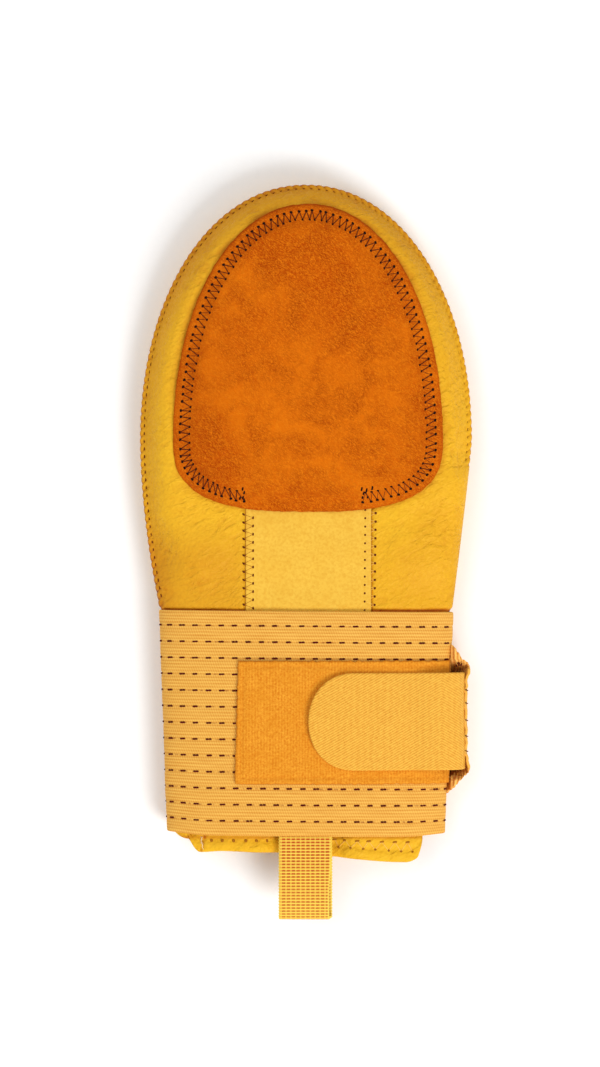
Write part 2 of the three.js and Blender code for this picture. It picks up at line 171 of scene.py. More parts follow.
def threadTubes(centres, radius, up=(0, 0, 1), sides=6, flatness=1.0):
    # A tube along each run of points: ring points stand `radius` from the centre, across the run
    # and toward `up`, and both ends close in a point.
    tangent = np.gradient(centres, axis=1)
    across = np.cross(tangent, np.broadcast_to(up, centres.shape))
    across /= np.linalg.norm(across, axis=2, keepdims=True) + 1e-9
    above = np.cross(across, tangent)
    above /= np.linalg.norm(above, axis=2, keepdims=True) + 1e-9
    turn = np.linspace(0, 2 * math.pi, sides, endpoint=False)[:, None]
    ring = across[:, :, None] * np.cos(turn) + above[:, :, None] * np.sin(turn) * flatness
    body = centres[:, :, None] + ring * np.broadcast_to(radius, centres.shape[:2])[..., None, None]
    first, last = [np.repeat(centres[:, end, None, None], sides, 2) for end in (0, -1)]
    points = np.concatenate([first, body, last], 1)
    at = np.arange(points[..., 0].size).reshape(points.shape[:3])
    at = np.concatenate([at, at[:, :, :1]], 2)
    faces = np.stack([at[:, :-1, :-1], at[:, :-1, 1:], at[:, 1:, 1:], at[:, 1:, :-1]], -1)
    return points.reshape(-1, 3), faces.reshape(-1, 4)


def seated(flat, surface, lift=0.0):
    # Points of the plane at the height of a surface, or `lift` above it.
    return np.concatenate([flat, (surface(flat[..., 0], flat[..., 1]) + lift)[..., None]], -1)


def laidThreads(surface, legs, radius, flatness=1.0, sunk=0.45):
    # Threads from hole to hole. A leg has its first holes, its second ones and how proud it lies;
    # its ends go down into the cloth.
    share = np.array([0, 0.1, 0.3, 0.7, 0.9, 1])
    threads = []
    for first, second, proud in legs:
        flat = first[:, None] + (second - first)[:, None] * share[:, None]
        lift = np.where((share == 0) | (share == 1), -sunk, np.reshape(proud, (-1, 1)))
        threads.append(threadTubes(seated(flat, surface, lift), radius, flatness=flatness))
    return joined(threads)


def seatedKnots(surface, *rows):
    # Flat oval knots. A row has its holes, the direction that its knots are drawn out in, and their
    # length and radius.
    share, swell = np.array([-0.5, -0.3, 0.3, 0.5]), np.array([0.55, 0.95, 0.95, 0.55])
    knots = []
    for at, heading, length, radius in rows:
        flat = at[:, None] + unit(np.broadcast_to(heading, at.shape))[:, None] * (share * length)[:, None]
        height = surface(at[:, :1], at[:, 1:]) + 0 * share
        centres = np.concatenate([flat, height[..., None]], -1)
        knots.append(threadTubes(centres, radius * swell, sides=8, flatness=0.45))
    return joined(knots)


def makePiece(name, shape, material, slotName, node=None, uv=None, **shades):
    # Welds points that coincide, drops faces without area, turns the faces outward by the sign of
    # the volume they enclose, and makes the object. uv, in millimetres along the cloth, and shades
    # are grids, which serve both sides of a shell.
    points, quads = shape
    keys = np.round(points * 1000).astype(np.int64)
    _, first, merged = np.unique(keys, axis=0, return_index=True, return_inverse=True)
    corners = merged.reshape(-1)[quads]
    same = corners == np.roll(corners, -1, axis=1)
    doubled = same.sum(1)
    faces, sources = [corners[doubled == 0]], [quads[doubled == 0]]
    for skipped in range(4):
        picked = (doubled == 1) & same[:, skipped]
        kept = [corner for corner in range(4) if corner != skipped]
        faces.append(corners[picked][:, kept])
        sources.append(quads[picked][:, kept])
    welded = points[first]
    volume = sum((welded[part[:, 0]] * np.cross(welded[part[:, turn]], welded[part[:, turn + 1]])).sum()
                 for part in faces for turn in range(1, part.shape[1] - 1))
    if volume < 0:
        faces, sources = [[part[:, ::-1] for part in parts] for parts in (faces, sources)]
    mesh = bpy.data.meshes.new(name)
    mesh.from_pydata((welded * 0.001).tolist(), [], [face for part in faces for face in part.tolist()])
    if uv is not None:
        places = np.tile(np.stack(np.broadcast_arrays(*uv), -1).reshape(-1, 2), (2, 1)).astype(np.float32)
        layer = mesh.uv_layers.new(name="cloth")
        layer.data.foreach_set("uv", np.concatenate([places[part.ravel()] for part in sources]).ravel())
    for shade, values in shades.items():
        attribute = mesh.attributes.new(shade, "FLOAT", "POINT")
        both = np.clip(np.tile(values.ravel(), 2), 0, 1)
        attribute.data.foreach_set("value", both[first].astype(np.float32))
    mesh.polygons.foreach_set("use_smooth", np.ones(len(mesh.polygons), bool))
    mesh.materials.append(material)
    mesh.update()
    piece = bpy.data.objects.new(name, mesh)
    scene.collection.objects.link(piece)
    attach(piece, "root")
    if node:
        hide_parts(node)
    triangles = sum(len(part) * (part.shape[1] - 2) for part in faces)
    print(f"{name}: {len(mesh.vertices)} points, {triangles} triangles")
    return piece


# The camera looks straight down, as the photograph does, and soft light comes from the wrist's side.
view = dict(distance=1.8405, planeHeight=0.013, x=-0.00276, y=0.00851, lens=135)
cameraData = bpy.data.cameras.new("photo_camera")
cameraData.lens = view["lens"]
cameraData.sensor_width = 36  # on the long side of the picture
cameraData.clip_end = 20
camera = bpy.data.objects.new("photo_camera", cameraData)
camera.location = (view["x"], view["y"], view["planeHeight"] + view["distance"])
scene.collection.objects.link(camera)
scene.camera = camera

light = dict(
    world=0.6,
    key=dict(power=42, size=1.2, place=(1.1, -1.4, 1.7)),
    fill=dict(power=12, size=1.6, place=(-1.1, 0.6, 1.7)),
)
scene.view_settings.view_transform = "Standard"
scene.world = bpy.data.worlds.new("studio")
scene.world.use_nodes = True
background = scene.world.node_tree.nodes["Background"]
background.inputs["Color"].default_value = (1, 1, 1, 1)
background.inputs["Strength"].default_value = light["world"]
for name in ("key", "fill"):
    lamp = bpy.data.lights.new(name + "_softbox", "AREA")
    lamp.energy, lamp.size = light[name]["power"], light[name]["size"]
    softbox = bpy.data.objects.new(name + "_softbox", lamp)
    scene.collection.objects.link(softbox)
    softbox.location = light[name]["place"]
    softbox.rotation_euler = (-softbox.location).to_track_quat("-Z", "Y").to_euler()


# Materials. Each is named for what the real one is.

def linearColor(code):
    # A linear colour from an sRGB hex value.
    parts = [int(code[start:start + 2], 16) / 255 for start in (1, 3, 5)]
    return (*[part / 12.92 if part <= 0.04045 else ((part + 0.055) / 1.055) ** 2.4 for part in parts], 1)


def feed(node, *values, **named):
    # Fills a node's inputs, in their own order or by name, each with a number, a vector, a hex
    # colour or the output that feeds it.
    pairs = list(zip([socket for socket in node.inputs if socket.enabled], values))
    pairs += [(node.inputs[name.replace("_", " ")], value) for name, value in named.items()]
    for socket, value in pairs:
        if isinstance(value, bpy.types.NodeSocket):
            node.id_data.links.new(value, socket)
        else:
            socket.default_value = linearColor(value) if isinstance(value, str) else value


def addNode(tree, kind, *values, output=None, **named):
    # A shader node: names in small letters are its settings, and the rest goes to its inputs. It
    # gives back the outputs that are named, or else the first one. Here every Mix mixes colours.
    node = tree.nodes.new("ShaderNode" + kind)
    if kind == "Mix":
        node.data_type = "RGBA"
    for name in list(named):
        if name.islower():
            setattr(node, name, named.pop(name))
    feed(node, *values, **named)
    outputs = {socket.name: socket for socket in node.outputs if socket.enabled}
    found = [outputs[name] for name in (output or next(iter(outputs))).split()]
    return found if len(found) > 1 else found[0]


def newMaterial(name, **sockets):
    # A material with one Principled shader, whose constant values are set on its own sockets.
    material = bpy.data.materials.new(name)
    material.use_nodes = True
    shader = material.node_tree.nodes["Principled BSDF"]
    feed(shader, **sockets)
    return material, functools.partial(addNode, material.node_tree), shader


def perMillimetre(size):
    # Texture scale that gives cells of `size` millimetres on coordinates in metres.
    return 1000 / size


def turnsPer(size):
    # Factor that makes a sine wave of `size` millimetres on coordinates in millimetres.
    return 2 * math.pi / size


# Dyed garment leather: drum-tumbled cow hide with a fine pebble grain and a satin finish. The eye
# sees small cells, long shallow wrinkles and cloudy tone. Painted shade: warmer, darker colour in
# the wrinkles' valleys and where the burnish attribute asks for it.
yellowLeather, add, shader = newMaterial("yellow_garment_leather", IOR=1.5, Specular_IOR_Level=0.1)
place = add("TexCoord", output="Object")
cloud = add("TexNoise", place, perMillimetre(30), 3)
fleck = add("TexNoise", place, perMillimetre(1.6), 4)
grain = add("TexVoronoi", place, perMillimetre(1.3))  # pebbles
turned = add("Mapping", place, Rotation=(0, 0, 0.5), Scale=(2.3, 1, 1), vector_type="TEXTURE")
creased = add("TexNoise", turned, perMillimetre(3.2), 3, Distortion=0.9)
calm = add("TexNoise", place, perMillimetre(17), 1)
lively = add("MapRange", calm, 0.36, 0.62, 0.35, 0.8)
middled = add("Math", creased, 0.5, operation="SUBTRACT")
wrinkle = add("Math", middled, lively, operation="MULTIPLY")
cloudy = add("Mix", cloud, "#e9b626", "#e5a81f")
toned = add("Mix", add("MapRange", fleck, 0.35, 0.75, 0, 0.35), cloudy, "#cd8c10")
# the attribute holds painted shade and some of the leather's own darker tone
shadeAndToneMask = add("Attribute", attribute_name="burnish", output="Fac")
# painted shade in the wrinkles' valleys
valleyShade = add("MapRange", wrinkle, -0.02, -0.2, 0, 0.2)
darker = add("Math", shadeAndToneMask, valleyShade, operation="ADD", use_clamp=True)
shadedLeather = add("Mix", darker, toned, "#a64400")
gloss = add("MapRange", fleck, 0, 1, 0.44, 0.6)
wrinkled = add("Bump", Strength=1.0, Distance=0.0019, Height=wrinkle)
pebbled = add("Bump", Strength=0.45, Distance=0.0004, Height=grain, Normal=wrinkled, invert=True)
feed(shader, Base_Color=shadedLeather, Roughness=gloss, Normal=pebbled)

# Split suede: the buffed flesh side of a hide. A velvet nap that is lighter or darker by the way
# its fibres lie, in wide patches, with a fine grain over them and no gloss.
orangeSuede, add, shader = newMaterial("orange_split_suede", Roughness=0.95, IOR=1.5, Specular_IOR_Level=0.05,
                                       Sheen_Weight=0.12, Sheen_Roughness=0.4, Sheen_Tint="#e86608")
place = add("TexCoord", output="Object")
patches = add("TexNoise", place, perMillimetre(46), 2, Distortion=0.6)
streaks = add("TexNoise", place, perMillimetre(15), 5, 0.6, Distortion=0.5)
combed = add("Mapping", place, Rotation=(0, 0, -0.7), Scale=(2.2, 1, 1), vector_type="TEXTURE")
fibres = add("TexNoise", combed, perMillimetre(0.52), 3, 0.65, Distortion=1.2)
base = add("Mix", add("MapRange", patches, 0.38, 0.62), "#bb4a02", "#df6d07")
streaked = add("Mix", add("MapRange", streaks, 0.4, 0.64, 0, 0.8), base, "#a84002")
napped = add("Mix", add("MapRange", fibres, 0.44, 0.6, 0, 0.85), streaked, "#e67c10")
# The edge attribute darkens the nap along the cut edge, and as painted shade toward the top, along the
# pressed stitch line and toward the left.
shadedNap = add("Mix", add("Attribute", attribute_name="edge", output="Fac"), napped, "#973402")
nap = add("Bump", Strength=1.0, Distance=0.0006, Height=fibres)
lay = add("Bump", Strength=0.5, Distance=0.001, Height=streaks, Normal=nap)
feed(shader, Base_Color=shadedNap, Normal=lay)

# Stretch knit: matte jersey bonded to foam, with fine loops that only just show. They are drawn
# 1.3 mm wide, about twice life size.
stretchKnit, add, shader = newMaterial("matte_stretch_knit", Roughness=0.9, IOR=1.5, Specular_IOR_Level=0.15,
                                       Sheen_Weight=0.1, Sheen_Tint="#ecc97e")
place = add("TexCoord", output="Object")
knit = add("TexNoise", place, perMillimetre(1.3), 3)
toned = add("Mix", add("TexNoise", place, perMillimetre(9), 4), "#eabd49", "#e1ac37")
knitted = add("Mix", add("MapRange", knit, 0.4, 0.7, 0, 0.5), toned, "#d19426")
looped = add("Bump", Strength=0.4, Distance=0.0003, Height=knit)
feed(shader, Base_Color=knitted, Normal=looped)

# Woven elastic: rubber cores under fine polyester yarn. Ribs run round the wrist and the yarns over
# them step sideways from rib to rib, so it looks ruled and finely dotted at once. Dark specks show
# along the rows where dashes are woven in.
elasticWeave = dict(ribPitch=1.47, yarnPitch=1.1, firstRow=6.9, rowPitch=7.44)
wovenElastic, add, shader = newMaterial("woven_elastic", Roughness=0.8, IOR=1.5, Specular_IOR_Level=0.2,
                                        Sheen_Weight=0.08, Sheen_Tint="#f1c16b")
cloth = add("UVMap", uv_map="cloth")
around, down = add("SeparateXYZ", cloth, output="X Y")
ribTurn = add("Math", down, turnsPer(elasticWeave["ribPitch"]), operation="MULTIPLY")
rib = add("Math", ribTurn, operation="SINE")
stepTurn = add("Math", down, math.pi / elasticWeave["ribPitch"], operation="MULTIPLY")
lean = add("Math", around, turnsPer(elasticWeave["yarnPitch"]), stepTurn, operation="MULTIPLY_ADD")
yarn = add("Math", add("Math", lean, operation="SINE"), 0.55, operation="MULTIPLY")
woven = add("Math", rib, 0.7, yarn, operation="MULTIPLY_ADD")
drawn = add("Mapping", cloth, Scale=(14, 0.8, 1), vector_type="TEXTURE")
pulled = add("TexNoise", drawn, 1.0, 3, 0.6)  # single cores drawn tighter than others
raised = add("Math", pulled, 3.0, woven, operation="MULTIPLY_ADD")
ruled = add("Mix", add("MapRange", raised, -0.1, 3.1), "#ca8227", "#efbb57")
uneven = add("TexNoise", add("TexCoord", output="Object"), perMillimetre(1.8), 3)
fromRow = add("Math", down, elasticWeave["firstRow"], operation="SUBTRACT")
toRow = add("Math", fromRow, elasticWeave["rowPitch"] / 2, operation="PINGPONG")
nearRow = add("MapRange", toRow, 0.5, 0.2, 0, 0.9)
specks = add("Math", nearRow, add("MapRange", uneven, 0.5, 0.75), operation="MULTIPLY")
rowed = add("Mix", specks, ruled, "#82300c")
ribbed = add("Bump", Strength=0.4, Distance=0.00012, Height=woven)
feed(shader, Base_Color=rowed, Normal=ribbed)

# Brushed loop tape: nylon pile pulled up out of knitted wales, 1.35 mm apart, into a fuzz. Orange,
# with pale fibre ends and darker hollows, and the wales under it showing faintly.
loopPile, add, shader = newMaterial("brushed_loop_tape", Roughness=0.95, IOR=1.53, Specular_IOR_Level=0.08,
                                    Sheen_Weight=0.12, Sheen_Roughness=0.5, Sheen_Tint="#ee9337")
place = add("TexCoord", output="Object")
waleTurn = add("Math", add("SeparateXYZ", place, output="X"), turnsPer(1.35) * 1000, operation="MULTIPLY")
wale = add("Math", waleTurn, operation="SINE")
fuzz = add("TexNoise", place, perMillimetre(0.9), 3, 0.7)
drift = add("TexNoise", place, perMillimetre(9), 3)
waled = add("Math", wale, 0.055, fuzz, operation="MULTIPLY_ADD")
fuzzed = add("Mix", add("MapRange", waled, 0.3, 0.7), "#ca7213", "#eca231")
drifted = add("Mix", add("MapRange", drift, 0.4, 0.7, 0, 0.35), fuzzed, "#d17e15")
# painted shade along the sewn line and at the patch's rounded edge, from its edge attribute
edgeShadedPile = add("Mix", add("Attribute", attribute_name="edge", output="Fac"), drifted, "#b7630e")
pile = add("Bump", Strength=0.3, Distance=0.0004, Height=fuzz)
feed(shader, Base_Color=edgeShadedPile, Normal=pile)

# Twill tape: the smooth back of the hook strap. Slanted floats climb to the right, 1.2 mm apart,
# drawn a little coarser than life; near the fold the slant turns round, as in a herringbone.
twillWeave = dict(floatPitch=1.2, climb=-0.55, turnAt=61.0, columnPitch=3)
twillTape, add, shader = newMaterial("twill_tape", Roughness=0.65, IOR=1.53, Specular_IOR_Level=0.15,
                                     Sheen_Weight=0.05, Sheen_Tint="#f2c370")
along, across = add("SeparateXYZ", add("UVMap", uv_map="cloth"), output="X Y")
floatTurns = turnsPer(twillWeave["floatPitch"])
climb = add("Math", along, twillWeave["turnAt"], operation="PINGPONG")
climbTurn = add("Math", climb, twillWeave["climb"] * floatTurns, operation="MULTIPLY")
floatTurn = add("Math", across, floatTurns, climbTurn, operation="MULTIPLY_ADD")
columnTurn = add("Math", along, turnsPer(twillWeave["columnPitch"]), operation="MULTIPLY")
columnWave = add("Math", columnTurn, operation="COSINE")
ridge = add("Math", columnWave, 0.2, add("Math", floatTurn, operation="SINE"), operation="MULTIPLY_ADD")
uneven = add("TexNoise", add("TexCoord", output="Object"), perMillimetre(1.2), 3)
height = add("Math", uneven, 4.0, ridge, operation="MULTIPLY_ADD")
ruled = add("Mix", add("MapRange", height, -0.7, 4.7), "#c97c16", "#f6c24c")
twilled = add("Bump", Strength=0.45, Distance=0.00015, Height=height)
feed(shader, Base_Color=ruled, Normal=twilled)

# Polyester webbing: thick shiny yarns, pale where they rise, with the orange warp showing in the
# furrows between them as short dashes.
webbingWeave = dict(yarnPitch=1.43, warpPitch=2.23)
ribWebbing, add, shader = newMaterial("polyester_webbing", Roughness=0.5, IOR=1.57, Specular_IOR_Level=0.2)
across, along = add("SeparateXYZ", add("UVMap", uv_map="cloth"), output="X Y")
rowTurn = add("Math", along, math.pi / webbingWeave["yarnPitch"], operation="MULTIPLY")
crest = add("Math", add("Math", rowTurn, operation="SINE"), operation="ABSOLUTE")
warpTurn = add("Math", across, turnsPer(webbingWeave["warpPitch"]), operation="MULTIPLY")
dash = add("MapRange", add("Math", warpTurn, operation="COSINE"), -0.85, -0.35, 0.4, 1)
orange = add("Math", add("MapRange", crest, 0.93, 0.74), dash, operation="MULTIPLY")
foldLight = add("MapRange", along, 22, 64, 1, 0.75)  # painted light: paler toward the fold, which turns to face the light
selvedge = add("Attribute", attribute_name="selvedge", output="Fac")
inField = add("Math", selvedge, foldLight, operation="MULTIPLY")
orangeShare = add("Math", orange, inField, operation="MULTIPLY")
yarned = add("Mix", orangeShare, "#eecb4a", "#bf5200")
strands = add("TexNoise", add("TexCoord", output="Object"), perMillimetre(0.5), 2)
dots = add("Math", add("MapRange", strands, 0.5, 0.64, 0, 0.7), orangeShare, operation="MULTIPLY")
deepShaded = add("Mix", dots, yarned, "#9a3a00")  # painted shade where some warp threads lie deeper
overUnder = add("Math", orangeShare, -1.2, strands, operation="MULTIPLY_ADD")
stranded = add("Bump", Strength=0.35, Distance=0.00015, Height=overUnder)
feed(shader, Base_Color=deepShaded, Normal=stranded)

# Brushed elastic: the orange wings at the strap's root, fuzzy, with brown shade between ribs that
# run across them. The end sewn to the strap is the colour of its tape.
rootRibPitch = 1.5
rootElastic, add, shader = newMaterial("brushed_orange_elastic", Roughness=0.95, IOR=1.5,
                                       Specular_IOR_Level=0.1, Sheen_Weight=0.2, Sheen_Tint="#ffb050")
along = add("SeparateXYZ", add("UVMap", uv_map="cloth"), output="X")
rib = add("Math", add("Math", along, turnsPer(rootRibPitch), operation="MULTIPLY"), operation="SINE")
fuzz = add("TexNoise", add("TexCoord", output="Object"), perMillimetre(1.4), 4)
height = add("Math", fuzz, 3.0, rib, operation="MULTIPLY_ADD")
ruled = add("Mix", add("MapRange", height, -0.2, 2.4), "#cd6a0b", "#ffc466")
taped = add("Mix", add("MapRange", along, 22, 26, 0, 0.8), ruled, "#f0b54c")
brushed = add("Bump", Strength=0.6, Distance=0.0003, Height=height)
feed(shader, Base_Color=taped, Normal=brushed)


def threadMaterial(name, dark, bright, rough):
    # Twisted sewing thread: its plies, drawn 0.7 mm apart, show as fine light and dark.
    material, add, shader = newMaterial(name, Roughness=rough, IOR=1.53, Specular_IOR_Level=0.12)
    plies = add("TexNoise", add("TexCoord", output="Object"), perMillimetre(0.7), 1)
    ply = add("Bump", Strength=0.4, Distance=0.0001, Height=plies)
    feed(shader, Base_Color=add("Mix", plies, dark, bright), Normal=ply)
    return material


umberThread = threadMaterial("umber_bonded_thread", "#431303", "#702807", 0.8)
# near-black: thread knots darkened as painted shade of the needle holes
knotAndHoleShade = threadMaterial("near_black_knots_and_hole_shade", "#100301", "#240a04", 0.9)
brownThread = threadMaterial("brown_waxed_thread", "#7e4608", "#b47214", 0.7)
goldThread = threadMaterial("golden_thread", "#dc9c34", "#fad070", 0.6)
paleThread = threadMaterial("pale_thread_fluff", "#e2b878", "#f8dfae", 0.9)
mahoganyYarn = threadMaterial("mahogany_woven_yarn", "#3a0604", "#6a150a", 0.9)

# White background paper, rolled out flat.
floorPaper, add, shader = newMaterial("white_paper", Roughness=0.95, Specular_IOR_Level=0.05)
tooth = add("TexNoise", add("TexCoord", output="Object"), perMillimetre(3), 3)
feed(shader, Base_Color=add("Mix", tooth, "#f9f9f9", "#fdfdfd"))
floorMesh = bpy.data.meshes.new("floor")
floorMesh.from_pydata([(-6, -6, 0), (6, -6, 0), (6, 6, 0), (-6, 6, 0)], [], [(0, 1, 2, 3)])
floorMesh.materials.append(floorPaper)
floor = bpy.data.objects.new("floor", floorMesh)
scene.collection.objects.link(floor)
print("camera, light and materials ready")


# The mitt's shape, in the same values as the part's own source.
mitt = dict(halfWidth=76.4, tipY=168.8, widestY=51.5, endY=-37.6, roundness=2.07, taper=9.2, leftCurve=1.8,
            rightCurve=1.1, seamZ=12.9, tipLift=2.5, liftStartY=60, leather=1.3, padding=5, paddingStart=14,
            sewnFullness=3, foldFullness=2.2, foldTopY=46, foldFullY=32, backShoulder=22)
riseTable = np.array([  # y, rise of the front over the seam, distance from the edge to its crown
    (-24, 11.1, 30), (-2, 12.2, 24), (24, 13.5, 18), (70, 13.5, 17), (120, 12, 15.5), (168.8, 10, 14)])
wrist = dict(topY=-27, bottomY=-130, topHalfWidth=67.6, bottomHalfWidth=63.9, slant=-0.008, halfHeight=12.9,
             underHeight=13.3, upperRoundness=2.5, underRoundness=3.2, thickness=1.25, blendStartY=-2,
             blendEndY=-24)
leatherInset = wrist["thickness"] + 0.35  # from the band's face to the leather inside it
cuffInset = wrist["thickness"] + 0.2
strip = dict(left=-27.9, right=30.0, topY=44, sunk=0.5, thickness=3)
suede = dict(centreX=0.9, halfWidth=61.6, topY=159.2, widestY=51.5, bottomY=18.4, upperRoundness=2.07,
             lowerRoundness=2.8, thickness=2.6, edgeThickness=1.25, seat=0.4)
lipGap = 0.05  # between the two leathers where they meet


def tubeHalfWidth(y):
    # The band's half width, which narrows evenly from its top edge to its lower one.
    share = (y - wrist["topY"]) / (wrist["bottomY"] - wrist["topY"])
    return mixed(wrist["topHalfWidth"], wrist["bottomHalfWidth"], share)


def tubeHeight(x, y, inset, side, halfWidth=None):
    # The flattened tube's wall, `inset` inside the band's face: a superellipse, flat on the ground.
    across = np.clip(np.abs(x) / (tubeHalfWidth(y) - inset if halfWidth is None else halfWidth), 0, 1)
    power = wrist["upperRoundness"] if side > 0 else wrist["underRoundness"]
    reach = wrist["halfHeight"] - inset if side > 0 else wrist["underHeight"] - inset
    return np.maximum(mitt["seamZ"] + side * reach * (1 - across**power) ** (1 / power), inset)


def tubeShare(y):
    # 0 on the palm and 1 where the mitt has become the flattened tube of the wrist.
    return smoothStep(y, wrist["blendStartY"], wrist["blendEndY"])


def edgeAcross(y, side):
    # Distance of the outline from the centre line, on the right (+1) or the left (-1).
    down = np.clip((mitt["widestY"] - y) / (mitt["widestY"] - wrist["topY"]), 0, 1)
    drawn = mitt["taper"] * down ** (mitt["rightCurve"] if side > 0 else mitt["leftCurve"])
    squeezed = smoothStep(y, wrist["topY"] + 2, wrist["topY"] - 0.4)  # tucked in under the band
    return mixed(mitt["halfWidth"] - drawn, tubeHalfWidth(y) - leatherInset, squeezed)


def fromMiddle(x, y):
    # The outline's distance from the middle and the point's own: level across below the widest
    # place, radial above it.
    across, up = np.maximum(np.abs(x), 1e-6), np.maximum(y - mitt["widestY"], 0)
    tipReach = mitt["tipY"] - mitt["widestY"]
    scaled = superellipse(across / mitt["halfWidth"], up / tipReach, mitt["roundness"])
    radial = np.hypot(across, up)
    level = np.where(x < 0, edgeAcross(y, -1), edgeAcross(y, 1))
    above = y > mitt["widestY"]
    return np.where(above, radial / scaled, level), np.where(above, radial, across)


def foldShare(x, y):
    # 0 where the panels are sewn edge to edge, 1 where the leather is a round fold.
    return np.where(x < 0, tubeShare(y), smoothStep(y, mitt["foldTopY"], mitt["foldFullY"]))


def seamHeight(y):
    # The seam between front and back, which rises a little toward the fingertips.
    return mitt["seamZ"] + mitt["tipLift"] * smoothStep(y, mitt["liftStartY"], mitt["tipY"])


def panelHeight(x, y, side):
    # A panel's outer face, the front's (+1) or the back's (-1): from the lip it rolls up to a crown
    # at the shoulder's distance, and below the fingers it turns into the tube of the wrist.
    edge, own = fromMiddle(x, y)
    shoulder = np.interp(y, riseTable[:, 0], riseTable[:, 2]) if side > 0 else mitt["backShoulder"]
    inward = np.clip((edge - own) / shoulder, 0, 1)
    fold = foldShare(x, y)
    sewn = 1 - (1 - inward) ** mitt["sewnFullness"] * (1 + mitt["sewnFullness"] * inward)
    folded = (1 - (1 - inward) ** mitt["foldFullness"]) ** (1 / mitt["foldFullness"])
    seam = seamHeight(y)
    lip = lipGap / 2 + (1 - fold) * mitt["leather"]
    rise = np.interp(y, riseTable[:, 0], riseTable[:, 1]) if side > 0 else seam
    rolled = seam + side * mixed(lip, rise, mixed(sewn, folded, fold))
    return mixed(rolled, tubeHeight(x, y, leatherInset, side, edge), tubeShare(y))


def suedeReach(upper):
    # The suede's roundness and its reach from its widest place, above that and below it.
    return (np.where(upper, suede["upperRoundness"], suede["lowerRoundness"]),
            np.where(upper, suede["topY"] - suede["widestY"], suede["widestY"] - suede["bottomY"]))


def suedeOutside(x, y):
    # Distance outside the suede's outline, negative under it.
    across, along = x - suede["centreX"], y - suede["widestY"]
    power, reach = suedeReach(along >= 0)
    scaled = superellipse(across / suede["halfWidth"], along / reach, power)
    return np.hypot(across, along) * (1 - 1 / np.maximum(scaled, 1e-6))


# The two panels: padded leather, sewn edge to edge with a slanted whip stitch.
panel = dict(sideRows=205, tipRows=760, wideColumns=15, slopeStep=0.25, samples=6001)
panelDepths = np.array([0, 0.22, 0.5, 0.85, 1.25, 1.7, 2.2, 2.75, 3.4, 4.2, 5.3, 6.7, 8.6, 11, 14, 17.8, 22])
whip = dict(pitch=3.59, inset=2.0, slant=0.5, bulge=0.45, pull=0.55, pullReach=2.6, lastY=40.0, thread=0.15,
            firstHole=5, knotInset=2.1, knotLength=1.5, knotSunk=0.36)
wear = dict(hill=0.3, crease=0.17, creaseWay=(0.77, 0.64), shallowCrease=0.13, tuck=0.35, swell=0.2,
            pleat=0.13, pinch=0.75)
pinchY = -26.9  # where the band's top edge presses


def mittOutline():
    # Points of the outline from the left wrist end round the tip to the right one. The two sides
    # have the same heights in both, so the back panel's rays meet on the centre line.
    sideY = np.linspace(mitt["endY"], mitt["widestY"], panel["sideRows"] + 1)[:-1]
    left = np.stack([-edgeAcross(sideY, -1), sideY], 1)
    right = np.stack([edgeAcross(sideY, 1), sideY], 1)[::-1]
    angle = np.linspace(math.pi, 0, panel["samples"])
    power = 2 / mitt["roundness"]
    arc = np.stack([mitt["halfWidth"] * signedPower(np.cos(angle), power),
                    mitt["widestY"] + (mitt["tipY"] - mitt["widestY"]) * np.abs(np.sin(angle)) ** power], 1)
    tip = alongPath(arc, np.linspace(0, walked(arc)[-1], panel["tipRows"] + 1))
    return np.concatenate([left, tip, right])


outline = mittOutline()
outlineWay = walked(outline)
outlineInward = rightward(outline, outlineWay)
rightSide = len(outline) - panel["sideRows"] - 1
sewnEnd = outlineWay[rightSide + np.argmin(np.abs(outline[rightSide:, 1] - whip["lastY"]))]


def sewnShare(way):
    # 1 along the whip stitch and 0 past its two ends.
    return smoothStep(way, 8, 12) * (1 - smoothStep(way, sewnEnd, sewnEnd + 1.5))


def whipBump(way, depth):
    # 1 on the leather between two threads and 0 under a thread. The thread runs from its needle
    # hole out to the edge and back along it by `slant` of a pitch.
    slant = whip["slant"] * whip["pitch"] * np.clip(1 - depth / whip["inset"], 0, 1)
    return np.abs(np.sin(math.pi * (way + slant) / whip["pitch"])) ** 0.7


def faceRelief(x, y, side):
    # What wear does to a panel's face: low hills, creases slanting across the wrist end and shallow
    # ones above it, and in front a tuck along the suede, a swell and pleats beside it, and a pinch
    # where the band's edge presses.
    edge, own = fromMiddle(x, y)
    depth = edge - own
    creaseX, creaseY = wear["creaseWay"]
    along, across = x * creaseX + y * creaseY, y * creaseX - x * creaseY
    crease = softHills(along * 0.2, across, 3.4, 7) * (0.5 + 0.5 * softHills(x, y, 22, 8))
    shallow = softHills(along * 0.3, across, 5.5, 9) * smoothStep(softHills(x, y, 30, 10), 0, 0.6)
    relief = (wear["hill"] * smoothStep(depth, 1, 7) * softHills(x, y, 26, 3 if side > 0 else 4)
              + wear["crease"] * smoothStep(y, 24, -2) * smoothStep(depth, 3, 10) * crease
              + wear["shallowCrease"] * smoothStep(y, 0, 30) * smoothStep(depth, 2.5, 6) * shallow)
    if side < 0:
        return relief
    outside = suedeOutside(x, y)
    around = 80 * np.arctan2(y - suede["widestY"], x)
    pleats = bell(outside - 3, 3.2) * softHills(around, outside * 0.3, 3.2, 6)
    return (relief - wear["tuck"] * bell(outside, 1.3) + wear["swell"] * bell(outside - 5.5, 3)
            + wear["pleat"] * pleats - wear["pinch"] * bell(y - pinchY, 1.0) * smoothStep(depth, 0.5, 3))


